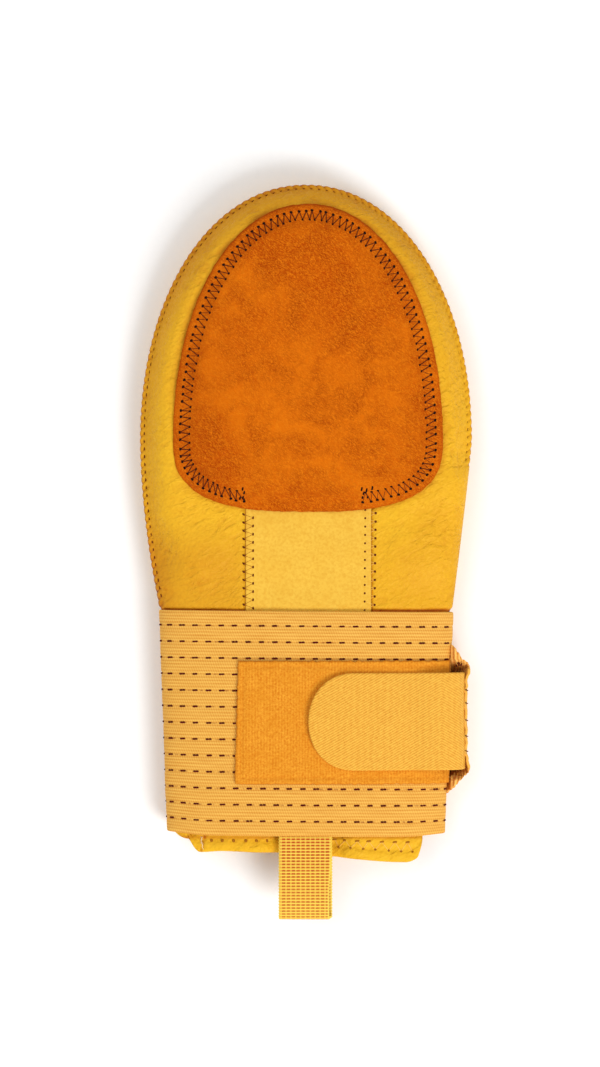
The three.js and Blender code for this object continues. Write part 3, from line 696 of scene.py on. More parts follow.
def panelRelief(x, y, way, depth, side):
    # The face's relief with the bulges that the whip stitch leaves, the dent along its holes, and
    # pleats drawn from it.
    near = 1 - smoothStep(depth, whip["inset"] * 0.75, whip["inset"] * 1.5)
    bulges = near * whip["bulge"] * (whipBump(way, depth) - 0.7)
    pressed = 0.3 * bell(depth - whip["inset"] - 0.2, 0.8)
    pleats = 0.16 * bell(depth - 5.5, 3.2) * softHills(way, depth * 0.25, 4.2, 5)
    return sewnShare(way) * (bulges - pressed + pleats) + faceRelief(x, y, side)


def slotEdge(x, toSlot):
    # The leather's folded edge beside the strip: rounded, and on the left it laps over the strip.
    return np.where(x < 0, 0.35, -0.1) * bell(toSlot, 3) - 0.8 * (1 - roundRim(toSlot, 0.8))


padding = dict(rowStep=8, columns=(0, 7, 9, 11, 12, 13, 14, 15, *range(16, 31)), frames=20, pressure=4.0,
               excess=0.02, cap=2.2, spread=7.0, columnStep=4.0)


def clothLift(outer, outward, free):
    # How far the padding lifts a face along its normals, in millimetres. A coarse copy of the grid
    # goes through the cloth solver, cut a little large and pinned where it isn't free, with pressure
    # under it and no gravity. The lift is capped by tanh and carried to the fine grid by a
    # Gaussian over the coarse rows and columns near each point.
    rowAt, columnAt = np.arange(0, len(outer), padding["rowStep"]), np.array(padding["columns"])
    coarse = np.ix_(rowAt, columnAt)
    start, toward = outer[coarse].reshape(-1, 3), outward[coarse].reshape(-1, 3)
    faces = gridFaces(np.arange(len(start)).reshape(len(rowAt), len(columnAt)))
    facing = np.cross(start[faces[:, 1]] - start[faces[:, 0]], start[faces[:, 3]] - start[faces[:, 0]])
    if (facing * toward[faces[:, 0]]).sum() < 0:
        faces = faces[:, ::-1]
    mesh = bpy.data.meshes.new("padding_cloth")
    mesh.from_pydata((start * 0.001).tolist(), [], faces.tolist())
    blown = bpy.data.objects.new("padding_cloth", mesh)
    scene.collection.objects.link(blown)
    held = blown.vertex_groups.new(name="held")
    held.add(np.flatnonzero(free[coarse] < 0.2).tolist(), 1, "REPLACE")
    cloth = blown.modifiers.new("cloth", "CLOTH")
    cloth.settings.vertex_group_mass = "held"
    cloth.settings.use_pressure = True
    cloth.settings.uniform_pressure_force = padding["pressure"]
    cloth.settings.shrink_min = -padding["excess"]
    cloth.settings.effector_weights.gravity = 0
    cloth.collision_settings.use_collision = False
    for step in range(padding["frames"]):
        scene.frame_set(step + 1)
    shaped = np.empty(start.size, np.float32)
    blown.evaluated_get(bpy.context.evaluated_depsgraph_get()).data.vertices.foreach_get("co", shaped)
    bpy.data.objects.remove(blown)
    scene.frame_set(1)
    lift = ((shaped.reshape(-1, 3) * 1000 - start) * toward).sum(1)
    print(f"cloth solver lifts the leather by {lift.min():.2f} to {lift.max():.2f} mm")
    lift = padding["cap"] * np.tanh(lift / padding["cap"])
    rowPlaces = np.linspace(0, outlineWay[-1], len(outer))
    beyond = padding["columnStep"] * np.arange(1, outer.shape[1] - len(panelDepths) + 1)
    columnPlaces = np.concatenate([panelDepths, panelDepths[-1] + beyond])
    byRow = bell(rowPlaces[:, None] - rowPlaces[rowAt], padding["spread"])
    byColumn = bell(columnPlaces[:, None] - columnPlaces[columnAt], padding["columnStep"])
    byRow /= byRow.sum(1, keepdims=True)
    byColumn /= byColumn.sum(1, keepdims=True)
    return byRow @ lift.reshape(len(rowAt), len(columnAt)) @ byColumn.T * free


def paddedPanel(side):
    # Rays from the outline inward, to the slot of the strip in front and to the centre line
    # behind. The outer face is panelHeight with its relief, the inner one a wall's thickness in.
    targetX, targetY = np.zeros(len(outline)), mitt["widestY"]
    if side > 0:
        slotStart = np.interp(strip["topY"], outline[:panel["sideRows"], 1], outlineWay[:panel["sideRows"]])
        slotShare = np.clip((outlineWay - slotStart) / (outlineWay[-1] - 2 * slotStart), 0, 1)
        targetX, targetY = mixed(strip["left"], strip["right"], slotShare), strip["topY"]
    ray = np.stack([targetX, np.minimum(outline[:, 1], targetY)], 1) - outline
    length = np.linalg.norm(ray, axis=1, keepdims=True)
    ray = ray / length
    near = np.broadcast_to(panelDepths, (len(outline), len(panelDepths)))
    wideShare = np.linspace(0, 1, panel["wideColumns"] + 1)[1:]
    depth = np.concatenate([near, mixed(panelDepths[-1], length, wideShare)], 1)
    way = np.broadcast_to(outlineWay[:, None], depth.shape)
    x, y = outline[:, :1] + ray[:, :1] * depth, outline[:, 1:] + ray[:, 1:] * depth
    height, step = panelHeight(x, y, side), panel["slopeStep"]
    slopeX = (panelHeight(x + step, y, side) - panelHeight(x - step, y, side)) / (2 * step)
    slopeY = (panelHeight(x, y + step, side) - panelHeight(x, y - step, side)) / (2 * step)
    outward = unit(np.stack([-slopeX, -slopeY, np.ones_like(x)], -1)) * side
    seam, fold = seamHeight(y), foldShare(x, y)
    sewn, underThread = sewnShare(way), 1 - whipBump(way, depth)
    # the outer face
    relief = panelRelief(x, y, way, depth, side) * smoothStep(y, -29, -26.5)
    if side < 0:
        relief = relief * smoothStep(height, 0.2, 3)  # flat where it lies on the ground
    outer = np.stack([x, y, height], -1) + outward * (relief * smoothStep(depth, 0, 0.6))[..., None]
    outer[..., 2] -= side * (1 - fold) * 0.9 * (1 - roundRim(depth, 0.8))
    pull = sewn * (1 - smoothStep(depth, 0, whip["pullReach"])) * whip["pull"] * underThread
    pull = ray[:, None] * pull[..., None]
    outer[..., :2] += pull
    # the inner face, which stays on its own side of the seam
    fullWall = mixed(2.4, mitt["padding"], smoothStep(y, wrist["topY"], 0))
    sewnWall = mixed(mitt["leather"], fullWall, smoothStep(depth, 0, mitt["paddingStart"]))
    inner = np.stack([x, y, height], -1) - outward * mixed(sewnWall, fullWall, fold)[..., None]
    inner[..., 2] = seam + side * np.maximum(side * (inner[..., 2] - seam), lipGap / 2)
    inner[:, 0, :2] = outline + ray * (fold[:, :1] * fullWall[:, :1] * 0.8)
    inner[:, 0, 2] = seam[:, 0] + side * lipGap / 2
    inner[..., :2] += pull
    # where the padding may lift it: not near its rim, under other pieces or on the ground
    free = smoothStep(depth, 3, 8) * smoothStep(y, -24, -12)
    if side > 0:
        free = free * smoothStep(suedeOutside(x, y), 1.5, 5) * smoothStep(length - depth, 3, 9)
    else:
        free = free * smoothStep(height, 0.3, 3)
    outer = outer + outward * clothLift(outer, outward, free)[..., None]
    # Painted shade and tone, as amounts and masks: painted shade in the grooves under the threads and in
    # hollows, and the darker sewn edge.
    shadeAndTone = [(0.25, sewn * underThread * (1 - smoothStep(depth, 1.6, 3.0))),  # under the stitches
              (0.3, sewn * (1 - smoothStep(depth, 0.1, 0.6))),  # along the sewn edge
              (0.12, np.maximum(-relief, 0) * smoothStep(depth, 3, 6))]  # in hollows
    if side > 0:
        outer[..., 2] += slotEdge(x, length - depth)
        # In front: painted shade toward the top and on rims turned from the light, a painted shadow round the
        # suede that is stronger toward the top, and a painted shadow along the band's top edge. The leather
        # is also darker at the lower left and lower right, and a little toward the right.
        palm = smoothStep(y, 20, -5)
        turnedAway = smoothStep(0.65 * ray[:, :1] - 0.76 * ray[:, 1:], 0.1, 0.9)  # from the light
        shadeAndTone += [(0.2, smoothStep(y, 60, 160)), (0.27, palm * smoothStep(x, -10, -40)),
                   (0.1, palm * smoothStep(x, 10, 40)), (0.05, smoothStep(x, 20, 60)),
                   (0.26, turnedAway * (1 - smoothStep(depth, 1, 12))),
                   (0.2 + 0.2 * smoothStep(y, 40, 140), bell(suedeOutside(x, y), 1.0)),
                   (0.75, bell(y - pinchY, 0.8))]
    name, node = ("front_leather_cover", "front_leather") if side > 0 else ("back_panel_cover", "back_panel")
    piece = makePiece(name, walledShell(outer, inner, () if side > 0 else ("lastColumn",)), yellowLeather,
                      "yellow_leather", node, burnish=sum(amount * place for amount, place in shadeAndTone))


paddedPanel(1)
paddedPanel(-1)


def whipStitch():
    # One slanted thread for each pitch: out of its hole in the front, over the edge, and down into
    # the hole in the back. A dark knot in each hole of the front paints the hole's shade.
    hole = np.arange(whip["firstHole"], int(sewnEnd / whip["pitch"]) + 1) * whip["pitch"]
    run = np.array([  # share of a pitch along the edge, depth inside it, side of the seam, lift
        (0.00, 2.05, 1, -0.45), (-0.04, 1.85, 1, -0.1), (-0.18, 1.35, 1, -0.12), (-0.34, 0.8, 1, -0.15),
        (-0.44, 0.35, 1, -0.1), (-0.49, -0.08, 1, -0.6), (-0.5, -0.16, 0, 0.0), (-0.52, -0.08, -1, -0.6),
        (-0.58, 0.4, -1, -0.1), (-0.7, 1.1, -1, -0.12), (-0.8, 1.85, -1, -0.1), (-0.8, 2.05, -1, -0.45)])
    share, depth, side, lift = run.T
    way = hole[:, None] + share * whip["pitch"]
    inward = atPlaces(way, outlineWay, outlineInward)
    edge = atPlaces(way, outlineWay, outline)
    pulled = depth + whip["pull"] * (1 - smoothStep(np.maximum(depth, 0), 0, whip["pullReach"]))
    at = edge + inward * pulled[:, None]
    inside = edge + inward * np.maximum(depth, 0.3)[:, None]
    front, back = [panelHeight(inside[..., 0], inside[..., 1], face) for face in (1, -1)]
    face = np.where(side > 0, front, np.where(side < 0, back, seamHeight(at[..., 1])))
    height = face + side * (lift - 0.3 * smoothStep(depth, 0, 0.5))
    centres = np.concatenate([at, height[..., None]], -1)
    up = np.concatenate([-inward, np.full((*inward.shape[:2], 1), 0.35)], -1)
    makePiece("edge_whip_stitches", threadTubes(centres, whip["thread"], up), brownThread, "yellow_leather")
    inward = atPlaces(hole, outlineWay, outlineInward)
    holeAt = atPlaces(hole, outlineWay, outline) + inward * whip["knotInset"]
    # the painted hole shade is larger on the left, which is turned from the light
    size = 0.10 + 0.20 * smoothStep(holeAt[:, :1], 40, -30)  # larger on the left, where they show
    knots = seatedKnots(lambda x, y: panelHeight(x, y, 1) - whip["knotSunk"],
                        (holeAt, inward[:, ::-1] * (-1, 1), whip["knotLength"], size))
    makePiece("edge_stitch_hole_shade", knots, umberThread, "yellow_leather")


whipStitch()


# The suede pad: cut edge, stitched down along a band near it.
suedeGrid = dict(around=420, rimColumns=6, nearColumns=24, farColumns=38, rim=0.9, near=12, samples=8001)
zigzag = dict(outerInset=3.3, innerInset=7.5, pitch=3.56, thread=0.21, outerKnot=0.72, innerKnot=0.62,
              startX=-28.6, endX=25.8)


def suedeOutline(turn):
    # Points of the suede's outline: two half superellipses that meet at its widest place.
    power, reach = suedeReach(np.sin(turn) >= 0)
    across = suede["halfWidth"] * signedPower(np.cos(turn), 2 / power)
    along = reach * signedPower(np.sin(turn), 2 / power)
    return np.stack([suede["centreX"] + across, suede["widestY"] + along], -1)


def suedeTop(x, y, inside):
    # The pad's upper face over the leather: thinner at its edge, pressed in along the stitches.
    thick = mixed(suede["edgeThickness"], suede["thickness"], smoothStep(inside, 0, 14))
    stitchLine = (zigzag["outerInset"] + zigzag["innerInset"]) / 2
    pressed = 0.5 * bell(inside - stitchLine, 2.6) + 0.5 * bell(inside, 2.2)
    swell = 0.24 * softHills(x, y, 30, 11) + 0.10 * softHills(x, y, 9, 12)
    return panelHeight(x, y, 1) + suede["seat"] + thick - pressed + swell * smoothStep(inside, 2, 10)


def onSuede(x, y):
    # The pad's upper face at any place.
    return suedeTop(x, y, np.maximum(-suedeOutside(x, y), 0))


def suedePad():
    # Rings from the cut edge in to the middle: the upper face is suedeTop, and the cut edge is a
    # quarter circle that ends half way down to the under face.
    dense = suedeOutline(np.linspace(-math.pi / 2, 1.5 * math.pi, suedeGrid["samples"]))
    way = np.linspace(0, walked(dense)[-1], suedeGrid["around"] + 1)
    rim = alongPath(dense, way)
    toMiddle = np.array([suede["centreX"], suede["widestY"] + 12]) - rim
    length = np.linalg.norm(toMiddle, axis=1, keepdims=True)
    start = suedeGrid["rim"] * (1 - np.cos(np.linspace(0, math.pi / 2, suedeGrid["rimColumns"])))
    near = np.linspace(suedeGrid["rim"], suedeGrid["near"], suedeGrid["nearColumns"])[1:]
    near = np.concatenate([start, near])
    far = np.linspace(0, 1, suedeGrid["farColumns"])[1:]
    near = np.broadcast_to(near, (len(rim), len(near)))
    depth = np.concatenate([near, mixed(suedeGrid["near"], length, far)], 1)
    turn = 2 * math.pi * way / way[-1]
    ragged = 0.16 * softHills(np.cos(turn) * 90, np.sin(turn) * 90, 6, 13)
    at = rim[:, None] + (toMiddle / length)[:, None] * (depth + ragged[:, None] * bell(depth, 1.5))[..., None]
    x, y = at[..., 0], at[..., 1]
    inside = np.maximum(-suedeOutside(x, y), 0)
    cut = 1 - roundRim(depth, suedeGrid["rim"])
    top = suedeTop(x, y, inside)
    under = panelHeight(x, y, 1) + suede["seat"] - 0.5 * bell(inside, 3)
    middleHeight = (top[:, :1] + under[:, :1]) / 2
    outer = np.stack([x, y, mixed(top, middleHeight, cut)], -1)
    inner = np.stack([x, y, np.minimum(mixed(under, middleHeight, cut), outer[..., 2])], -1)
    inStitches = zigzag["innerInset"] + 1
    # Darker along the cut edge, more so toward the top as painted shade; painted shade along the pressed
    # inner stitch line; and painted shade toward the left, which is turned from the light.
    edgeAndShade = (0.2 + 0.4 * smoothStep(y, 60, 150)) * bell(inside, 1.2) + 0.15 * bell(inside - inStitches, 2.5)
    edgeAndShade = edgeAndShade + 0.13 * smoothStep(x, -15, -50)
    piece = makePiece("suede_pad_cover", sheetShell(outer, inner), orangeSuede, "suede", "suede_pad",
                      edge=edgeAndShade)


suedePad()


def zigzagStitch():
    # A zigzag between two lines inside the suede's edge, from bar tack to bar tack round the top.
    # Each leg is a thread over the nap, and a near-black knot marks each needle hole: thread at the
    # hole, painted darker for the hole's shade.
    clockwise = np.linspace(-math.pi / 2, -2.5 * math.pi, suedeGrid["samples"])  # from the bottom
    dense = suedeOutline(clockwise)
    way = walked(dense)
    inward = rightward(dense, way)
    low, leftHalf = dense[:, 1] < suede["widestY"], way < way[-1] / 2
    first, last = [way[half][np.argmin(np.abs(dense[half, 0] - zigzag[end]))]
                   for half, end in ((low & leftHalf, "startX"), (low & ~leftHalf, "endX"))]
    count = int((last - first) / zigzag["pitch"])
    chance = np.random.default_rng(21)
    place = np.arange(count + 1) / count
    outerWay = mixed(first, last, place) + chance.normal(0, 0.3, count + 1)
    # where the inner hole falls after the outer one, as a share of the pitch
    follow = np.interp(place, [0, 0.03, 0.07, 0.12, 0.16, 0.175, 0.3, 0.4, 0.5, 0.58, 0.7, 1],
                       [1.25, 1.05, 0.92, 0.85, 0.72, 0.36, 0.36, 0.48, 0.45, 0.4, 0.6, 0.6])
    innerWay = outerWay[:-1] + zigzag["pitch"] * (follow[:-1] + chance.normal(0, 0.06, count))
    outerHoles, innerHoles = [
        atPlaces(at, way, dense) + atPlaces(at, way, inward) * (inset + chance.normal(0, 0.14, (len(at), 1)))
        for at, inset in ((outerWay, zigzag["outerInset"]), (innerWay, zigzag["innerInset"]))]
    # how proud the legs stand, those back out to the edge and those in from it
    back = np.interp(place[1:], [0, 0.5, 0.7, 1], [0.1, 0.08, -0.14, -0.14])
    fore = np.interp(place[:-1], [0, 0.14, 0.18, 0.3, 0.4, 1], [0.02, 0.0, -0.16, -0.12, 0.06, 0.06])
    legs = [(innerHoles, outerHoles[1:], back), (outerHoles[:-1], innerHoles, fore)]
    threads = laidThreads(onSuede, legs, zigzag["thread"], 0.8)
    makePiece("suede_zigzag_threads", threads, umberThread, "suede")
    heading = np.concatenate([innerHoles[:1] - outerHoles[:1], innerHoles - outerHoles[1:]])
    tacks = np.array([(-28.9, 28.9), (-28.2, 27.3), (-28.7, 25.2), (-28.3, 23.7), (-30.1, 24.8),
                      (25.4, 28.8), (26.3, 27.0), (25.8, 25.2), (27.6, 28.2), (28.2, 25.4), (30.2, 29.2)])
    knots = seatedKnots(onSuede, (outerHoles, heading, 1.0, zigzag["outerKnot"]),
                        (innerHoles, heading[1:] * (1, 0.4), 0.7, zigzag["innerKnot"]),
                        (tacks, (0.2, 1.0), 1.9, 0.42))
    makePiece("suede_stitch_knots", knots, knotAndHoleShade, "suede")


zigzagStitch()
print("leather and suede done")


# The stretch strip between the two sides of the front, and the zigzag seams along it.
seams = dict(pitchLeft=3.75, pitchRight=3.81, stitches=12, thread=0.13, pressedLeft=-24.1, pressedRight=27.0)


def onStrip(x, y):
    # Sunk a little below the leather, level with it at the wrist, raised along its right edge, and
    # pressed in by its two seams and by the band's top edge.
    sunk = strip["sunk"] * smoothStep(y, mitt["endY"], wrist["blendStartY"])
    raised = 0.4 * bell(strip["right"] - x, 3.2)
    pressed = 0.16 * bell(x - seams["pressedLeft"], 1.3) + 0.14 * bell(x - seams["pressedRight"], 1.2)
    pinched = 0.6 * bell(y - pinchY, 1.0)
    return panelHeight(x, y, 1) - sunk + raised - pressed - pinched + 0.14 * softHills(x, y, 16, 31)


def onFront(x, y):
    # The leather beside the strip, or the strip itself.
    toSlot = np.maximum(strip["left"] - x, x - strip["right"])
    onLeather = panelHeight(x, y, 1) + faceRelief(x, y, 1) + slotEdge(x, np.maximum(toSlot, 0))
    return np.where(toSlot < 0, onStrip(x, y), onLeather)


def centerPanel():
    # A rounded-edged strip between the slot's sides: onStrip above, a strip's thickness below it.
    across = softSpacing(strip["right"] - strip["left"] - 0.1, 0.5, 3, 62) + strip["left"] + 0.05
    along = softSpacing(strip["topY"] - 0.35 - mitt["endY"], 0.5, 2, 100) + mitt["endY"]
    x, y = np.meshgrid(across, along)
    toSide = np.minimum(x - across[0], across[-1] - x)
    toEnd = np.minimum(y - along[0], along[-1] - y)
    top, half = onStrip(x, y), strip["thickness"] / 2
    rim = roundRim(toSide, 0.5) * roundRim(toEnd, 0.5)
    outer, inner = [np.stack([x, y, top - half + side * half * rim], -1) for side in (1, -1)]
    piece = makePiece("stretch_strip", sheetShell(outer, inner), stretchKnit, "stretch_cloth", "center_panel")


centerPanel()


def stripSeams():
    # Each seam is a zigzag over the joint: dots on the leather and on the strip, legs between.
    count = seams["stitches"]
    leftOn, leftIn, rightOn, rightIn = [
        np.stack([np.linspace(startX, endX, number), startY - pitch * np.arange(number)], 1)
        for startX, endX, number, startY, pitch in (
            (-28.5, -28.5, count, 17.2, seams["pitchLeft"]), (-24.2, -24.2, count, 15.7, seams["pitchLeft"]),
            (31.8, 31.35, count, 17.8, seams["pitchRight"]),
            (27.1, 26.8, count + 1, 19.3, seams["pitchRight"]))]
    leftLegs = [(leftOn, leftIn, -0.04), (leftIn[:-1], leftOn[1:], -0.04)]
    rightLegs = [(rightIn[:-1], rightOn, -0.05), (rightOn, rightIn[1:], -0.08)]
    for name, legs, material in (("left_seam_threads", leftLegs, brownThread),
                                 ("right_seam_threads", rightLegs, goldThread)):
        makePiece(name, laidThreads(onFront, legs, seams["thread"]), material, "stretch_cloth")
    # The knots at the needle holes are darker than their threads: thread at each hole, with painted shade of
    # the hole.
    knots = seatedKnots(onFront, (leftOn, (0.75, -0.65), 1.25, 0.4), (leftIn, (0.1, 1.0), 1.3, 0.42),
                        (rightOn, (1.0, -0.15), 1.0, 0.58), (rightIn, (0.9, -0.3), 0.8, 0.52))
    makePiece("strip_stitch_knots", knots, umberThread, "stretch_cloth")


stripSeams()


# The wrist band: a flattened tube of elastic, with thirteen rows of dashes woven into it.
band = dict(around=300, along=84, rim=0.6, cornerRise=1.4, samples=20001)
dashes = dict(rows=13, left=-24, right=26, pitch=6.13, shift=-2.0, length=2.5, radius=0.44, drift=0.007,
              underPatch=0.6, frontZ=12, turningX=65.2, turningZ=8, joinGap=2.5)
patch = dict(left=-31.1, lean=0.026, right=66.0, topY=-49.7, bottomY=-106, thickness=1.8, over=0.1, rim=0.9,
             sewnInset=2.8)


def tubeWall(angle, y, inset):
    # x and z of the tube's wall at an angle counted from the right side over the top.
    upper = np.sin(angle) >= 0
    power = np.where(upper, wrist["upperRoundness"], wrist["underRoundness"])
    x = (tubeHalfWidth(y) - inset) * signedPower(np.cos(angle), 2 / power)
    return x, np.where(upper, tubeHeight(x, y, inset, 1), tubeHeight(x, y, inset, -1))


def wallTable(y):
    # Angles from the middle of the underside all round, and the distance of each from the middle
    # of the top, negative on the right.
    angle = np.linspace(-math.pi / 2, 1.5 * math.pi, band["samples"])
    way = walked(np.stack(tubeWall(angle, y, 0), 1))
    return angle, way - way[len(way) // 2]


wallAngle, topWay = wallTable(wrist["topY"])
lowWay = wallTable(wrist["bottomY"])[1]


def bandShare(down):
    # How far down the band a place is, from 0 to 1.
    return np.clip(down / (wrist["topY"] - wrist["bottomY"]), 0, 1)


def bandAngle(way, down):
    # The angle round the tube at a distance round the band.
    return mixed(np.interp(way, topWay, wallAngle), np.interp(way, lowWay, wallAngle), bandShare(down))


def bandWay(angle, down):
    # The distance round the band at an angle round the tube.
    return mixed(np.interp(angle, wallAngle, topWay), np.interp(angle, wallAngle, lowWay), bandShare(down))


def bandWall(angle, down, lift=0.0):
    # A point of the band's face at an angle round it and a distance down from its top edge.
    y = wrist["topY"] - down
    x, z = tubeWall(angle, y, -lift)
    drawn = band["cornerRise"] * smoothStep(np.abs(x), 44, 66) * bandShare(down) ** np.where(x < 0, 4, 16)
    return np.stack([x, y + wrist["slant"] * x + drawn, z], -1)


def wristBand():
    # The tube's wall as two faces, half a thickness out and in, with rounded edges. The face is
    # drawn in along each row of dashes and swells a little between them.
    way = np.linspace(topWay[0], topWay[-1], band["around"] + 1)
    down = softSpacing(wrist["topY"] - wrist["bottomY"], band["rim"], 3, band["along"])
    angle, down = np.meshgrid(np.interp(way, topWay, wallAngle), down, indexing="ij")
    rim = roundRim(np.minimum(down, down[0, -1] - down), band["rim"])
    half, pitch = wrist["thickness"] / 2, elasticWeave["rowPitch"]
    toRow = np.mod(down - elasticWeave["firstRow"] + pitch / 2, pitch) - pitch / 2
    hills = softHills(np.cos(angle) * 40, np.sin(angle) * 40 + down, 24, 41)
    relief = (0.10 - 0.24 * bell(toRow, 0.9) + 0.14 * hills) * rim
    relief = relief * smoothStep(bandWall(angle, down)[..., 2], 0.3, 3)  # flat where it lies on the ground
    outer = bandWall(angle, down, -half + half * rim + relief)
    inner = bandWall(angle, down, -half - half * rim)
    outer[..., 2] = np.maximum(outer[..., 2], 0)
    piece = makePiece("elastic_wrist_band", sheetShell(outer, inner), wovenElastic, "band_elastic",
                      "wrist_band", uv=(bandWay(angle, down), down))


wristBand()


def wovenDashes():
    # Each dash is two short floats of dark yarn side by side, and the rows run right round the
    # band to the join in the middle of its back. None lie under the patch or beside its right edge.
    columns = np.arange(dashes["left"], dashes["right"]) * dashes["pitch"] - dashes["shift"]
    place, row, half = np.meshgrid(columns, np.arange(dashes["rows"]), (-1, 1), indexing="ij")
    jitter = np.random.default_rng(42).normal(0, 0.1, place.shape)
    down = elasticWeave["firstRow"] + elasticWeave["rowPitch"] * row
    way = place + jitter - dashes["drift"] * down
    x, y, z = np.moveaxis(bandWall(bandAngle(way, down), down), -1, 0)
    patchLeft, under = patch["left"] - patch["lean"] * (patch["topY"] - y), dashes["underPatch"]
    patched = ((x > patchLeft + 0.8) & (x < patch["right"] - under) & (z > dashes["frontZ"])
               & (y < patch["topY"] - under) & (y > patch["bottomY"] + under))
    turning = (x > dashes["turningX"]) & (z > dashes["turningZ"])  # where the right side turns under
    share = bandShare(down)
    joinedAt = np.minimum(mixed(topWay[-1], lowWay[-1], share), -mixed(topWay[0], lowWay[0], share))
    keep = (~patched & ~turning & (np.abs(way) < joinedAt - dashes["joinGap"])).ravel()
    dashShape = np.array([-0.5, -0.28, 0.28, 0.5]) * dashes["length"] * 0.54
    way = (way + half * dashes["length"] * 0.24).reshape(-1, 1)[keep] + dashShape
    down = (down + 0.03 * half).reshape(-1, 1)[keep] + 0.05 * np.array([1, -1, -1, 1.0])
    centres = bandWall(bandAngle(way, down), down, 0.05)
    centres[..., 2] = np.maximum(centres[..., 2], 0.3)
    up = centres - bandWall(bandAngle(way, down), down, -1.0)
    radius = dashes["radius"] * np.array([0.5, 1, 1, 0.5])
    makePiece("woven_dashes", threadTubes(centres, radius, up, 6, 0.6), mahoganyYarn, "band_elastic")


wovenDashes()


def onPatch(x, y, lift):
    # The patch's underside, just above the band, or `lift` above that.
    return tubeHeight(x, y, -patch["over"] - lift, 1)


def loopPatch():
    # The loop patch on the front of the band: a rectangle with a slightly leaning left side, a
    # fuzzy face, and a line pressed in where it is sewn down.
    width, height = patch["right"] - patch["left"], patch["topY"] - patch["bottomY"]
    along = patch["bottomY"] + softSpacing(height, patch["rim"], 4, 104)
    across, y = np.meshgrid(softSpacing(width, patch["rim"], 4, 170), along)
    toEdge = np.minimum(np.minimum(across, width - across), np.minimum(y - along[0], along[-1] - y))
    x = patch["left"] + across - patch["lean"] * (patch["topY"] - y) * (1 - across / width)
    ragged = 0.25 * bell(toEdge, 0.6)
    x = x + ragged * softHills(y, 0 * y, 3.1, 51) * (across < 2)
    y = y + ragged * softHills(x, 0 * x, 3.3, 52)
    rim = roundRim(toEdge, patch["rim"])
    fuzz = 0.05 * softHills(x, y, 1.7, 53) + 0.06 * softHills(x, y, 7, 54)
    fromLine = toEdge - patch["sewnInset"]
    raised = fuzz * smoothStep(toEdge, 0.4, 1.5) - 0.28 * bell(fromLine, 0.9)
    half = patch["thickness"] / 2
    outer = np.stack([x, y, onPatch(x, y, half + rim * (half + raised))], -1)
    inner = np.stack([x, y, onPatch(x, y, half - rim * half)], -1)
    # Painted shade along the pressed sewn line and at the rounded edge.
    sewnLineShade = 0.3 * bell(fromLine, 0.6) * (0.6 + 0.4 * softHills(x + y, x - y, 2.4, 55))
    piece = makePiece("loop_tape_patch", sheetShell(outer, inner), loopPile, "fuzzy_tape", "loop_patch",
                      edge=sewnLineShade + 0.6 * bell(toEdge, 0.35))


loopPatch()


# The hook strap, from its rounded tip over the patch and round the right side.
strap = dict(topY=-55.1, bottomY=-99.7, tipX=1.0, tipLength=21, thickness=1.7, layX=48, tipRoundness=2.12,
             rim=0.85, gap=0.15, tipLift=1.0, along=110, across=56, samples=1200)
strapTurn = [(57, 25.4), (64.6, 23.9), (70.0, 20.8), (72.2, 15.6), (71.6, 10.4)]


def hookStrap():
    # A profile across the strap carried along its path. The tip is a superellipse seen from above
    # and stands a little off the patch.
    middleY, halfWidth = (strap["topY"] + strap["bottomY"]) / 2, (strap["topY"] - strap["bottomY"]) / 2
    laidX = np.linspace(strap["tipX"], strap["layX"], 8)
    over = -patch["over"] - patch["thickness"] - strap["gap"] - strap["thickness"] / 2
    laid = np.stack([laidX, tubeHeight(laidX, middleY, over, 1)], 1)
    path = smoothPath(np.concatenate([laid, np.array(strapTurn)]), strap["samples"])
    length = walked(path)[-1]
    tip = strap["tipLength"] * (1 - np.cos(np.linspace(0, math.pi / 2, 30)))
    body = softSpacing(length - strap["tipLength"], strap["rim"], 3, strap["along"])[4:]
    way = np.concatenate([tip, strap["tipLength"] + body])
    middle = alongPath(path, way)
    tangent = headings(middle, way)
    across = softSpacing(2, strap["rim"] / halfWidth, 4, strap["across"]) - 1
    fromTip = np.clip(1 - (middle[:, :1] - strap["tipX"]) / strap["tipLength"], 0, 1)
    power = strap["tipRoundness"]
    offset = across * halfWidth * (1 - fromTip**power) ** (1 / power)
    rounded = superellipse(fromTip, offset / halfWidth, power)
    toEdge = np.minimum((1 - rounded) * halfWidth, (length - way)[:, None])
    rim = roundRim(toEdge, strap["rim"])
    places = np.broadcast_to(way[:, None], offset.shape)
    ripple = 0.16 * softHills(places, offset, 26, 61) - 0.14 * bell(toEdge - 2.2, 0.9)
    lifted = strap["tipLift"] * (1 - smoothStep(places, 0, 30)) * (1 - 0.3 * np.abs(offset) / halfWidth)

    def face(away):
        # A face of the tape, `away` from its middle along the path's normal and lifted at the tip.
        away = away + lifted
        return np.stack([middle[:, :1] - tangent[:, 1:] * away, middleY + offset,
                         middle[:, 1:] + tangent[:, :1] * away], -1)

    reach = strap["thickness"] / 2 * rim
    shape = sheetShell(face(reach + ripple * rim), face(-reach + ripple * rim * 0.3))
    piece = makePiece("hook_strap_cover", shape, twillTape, "strap_twill", "hook_strap", uv=(places, offset))


hookStrap()


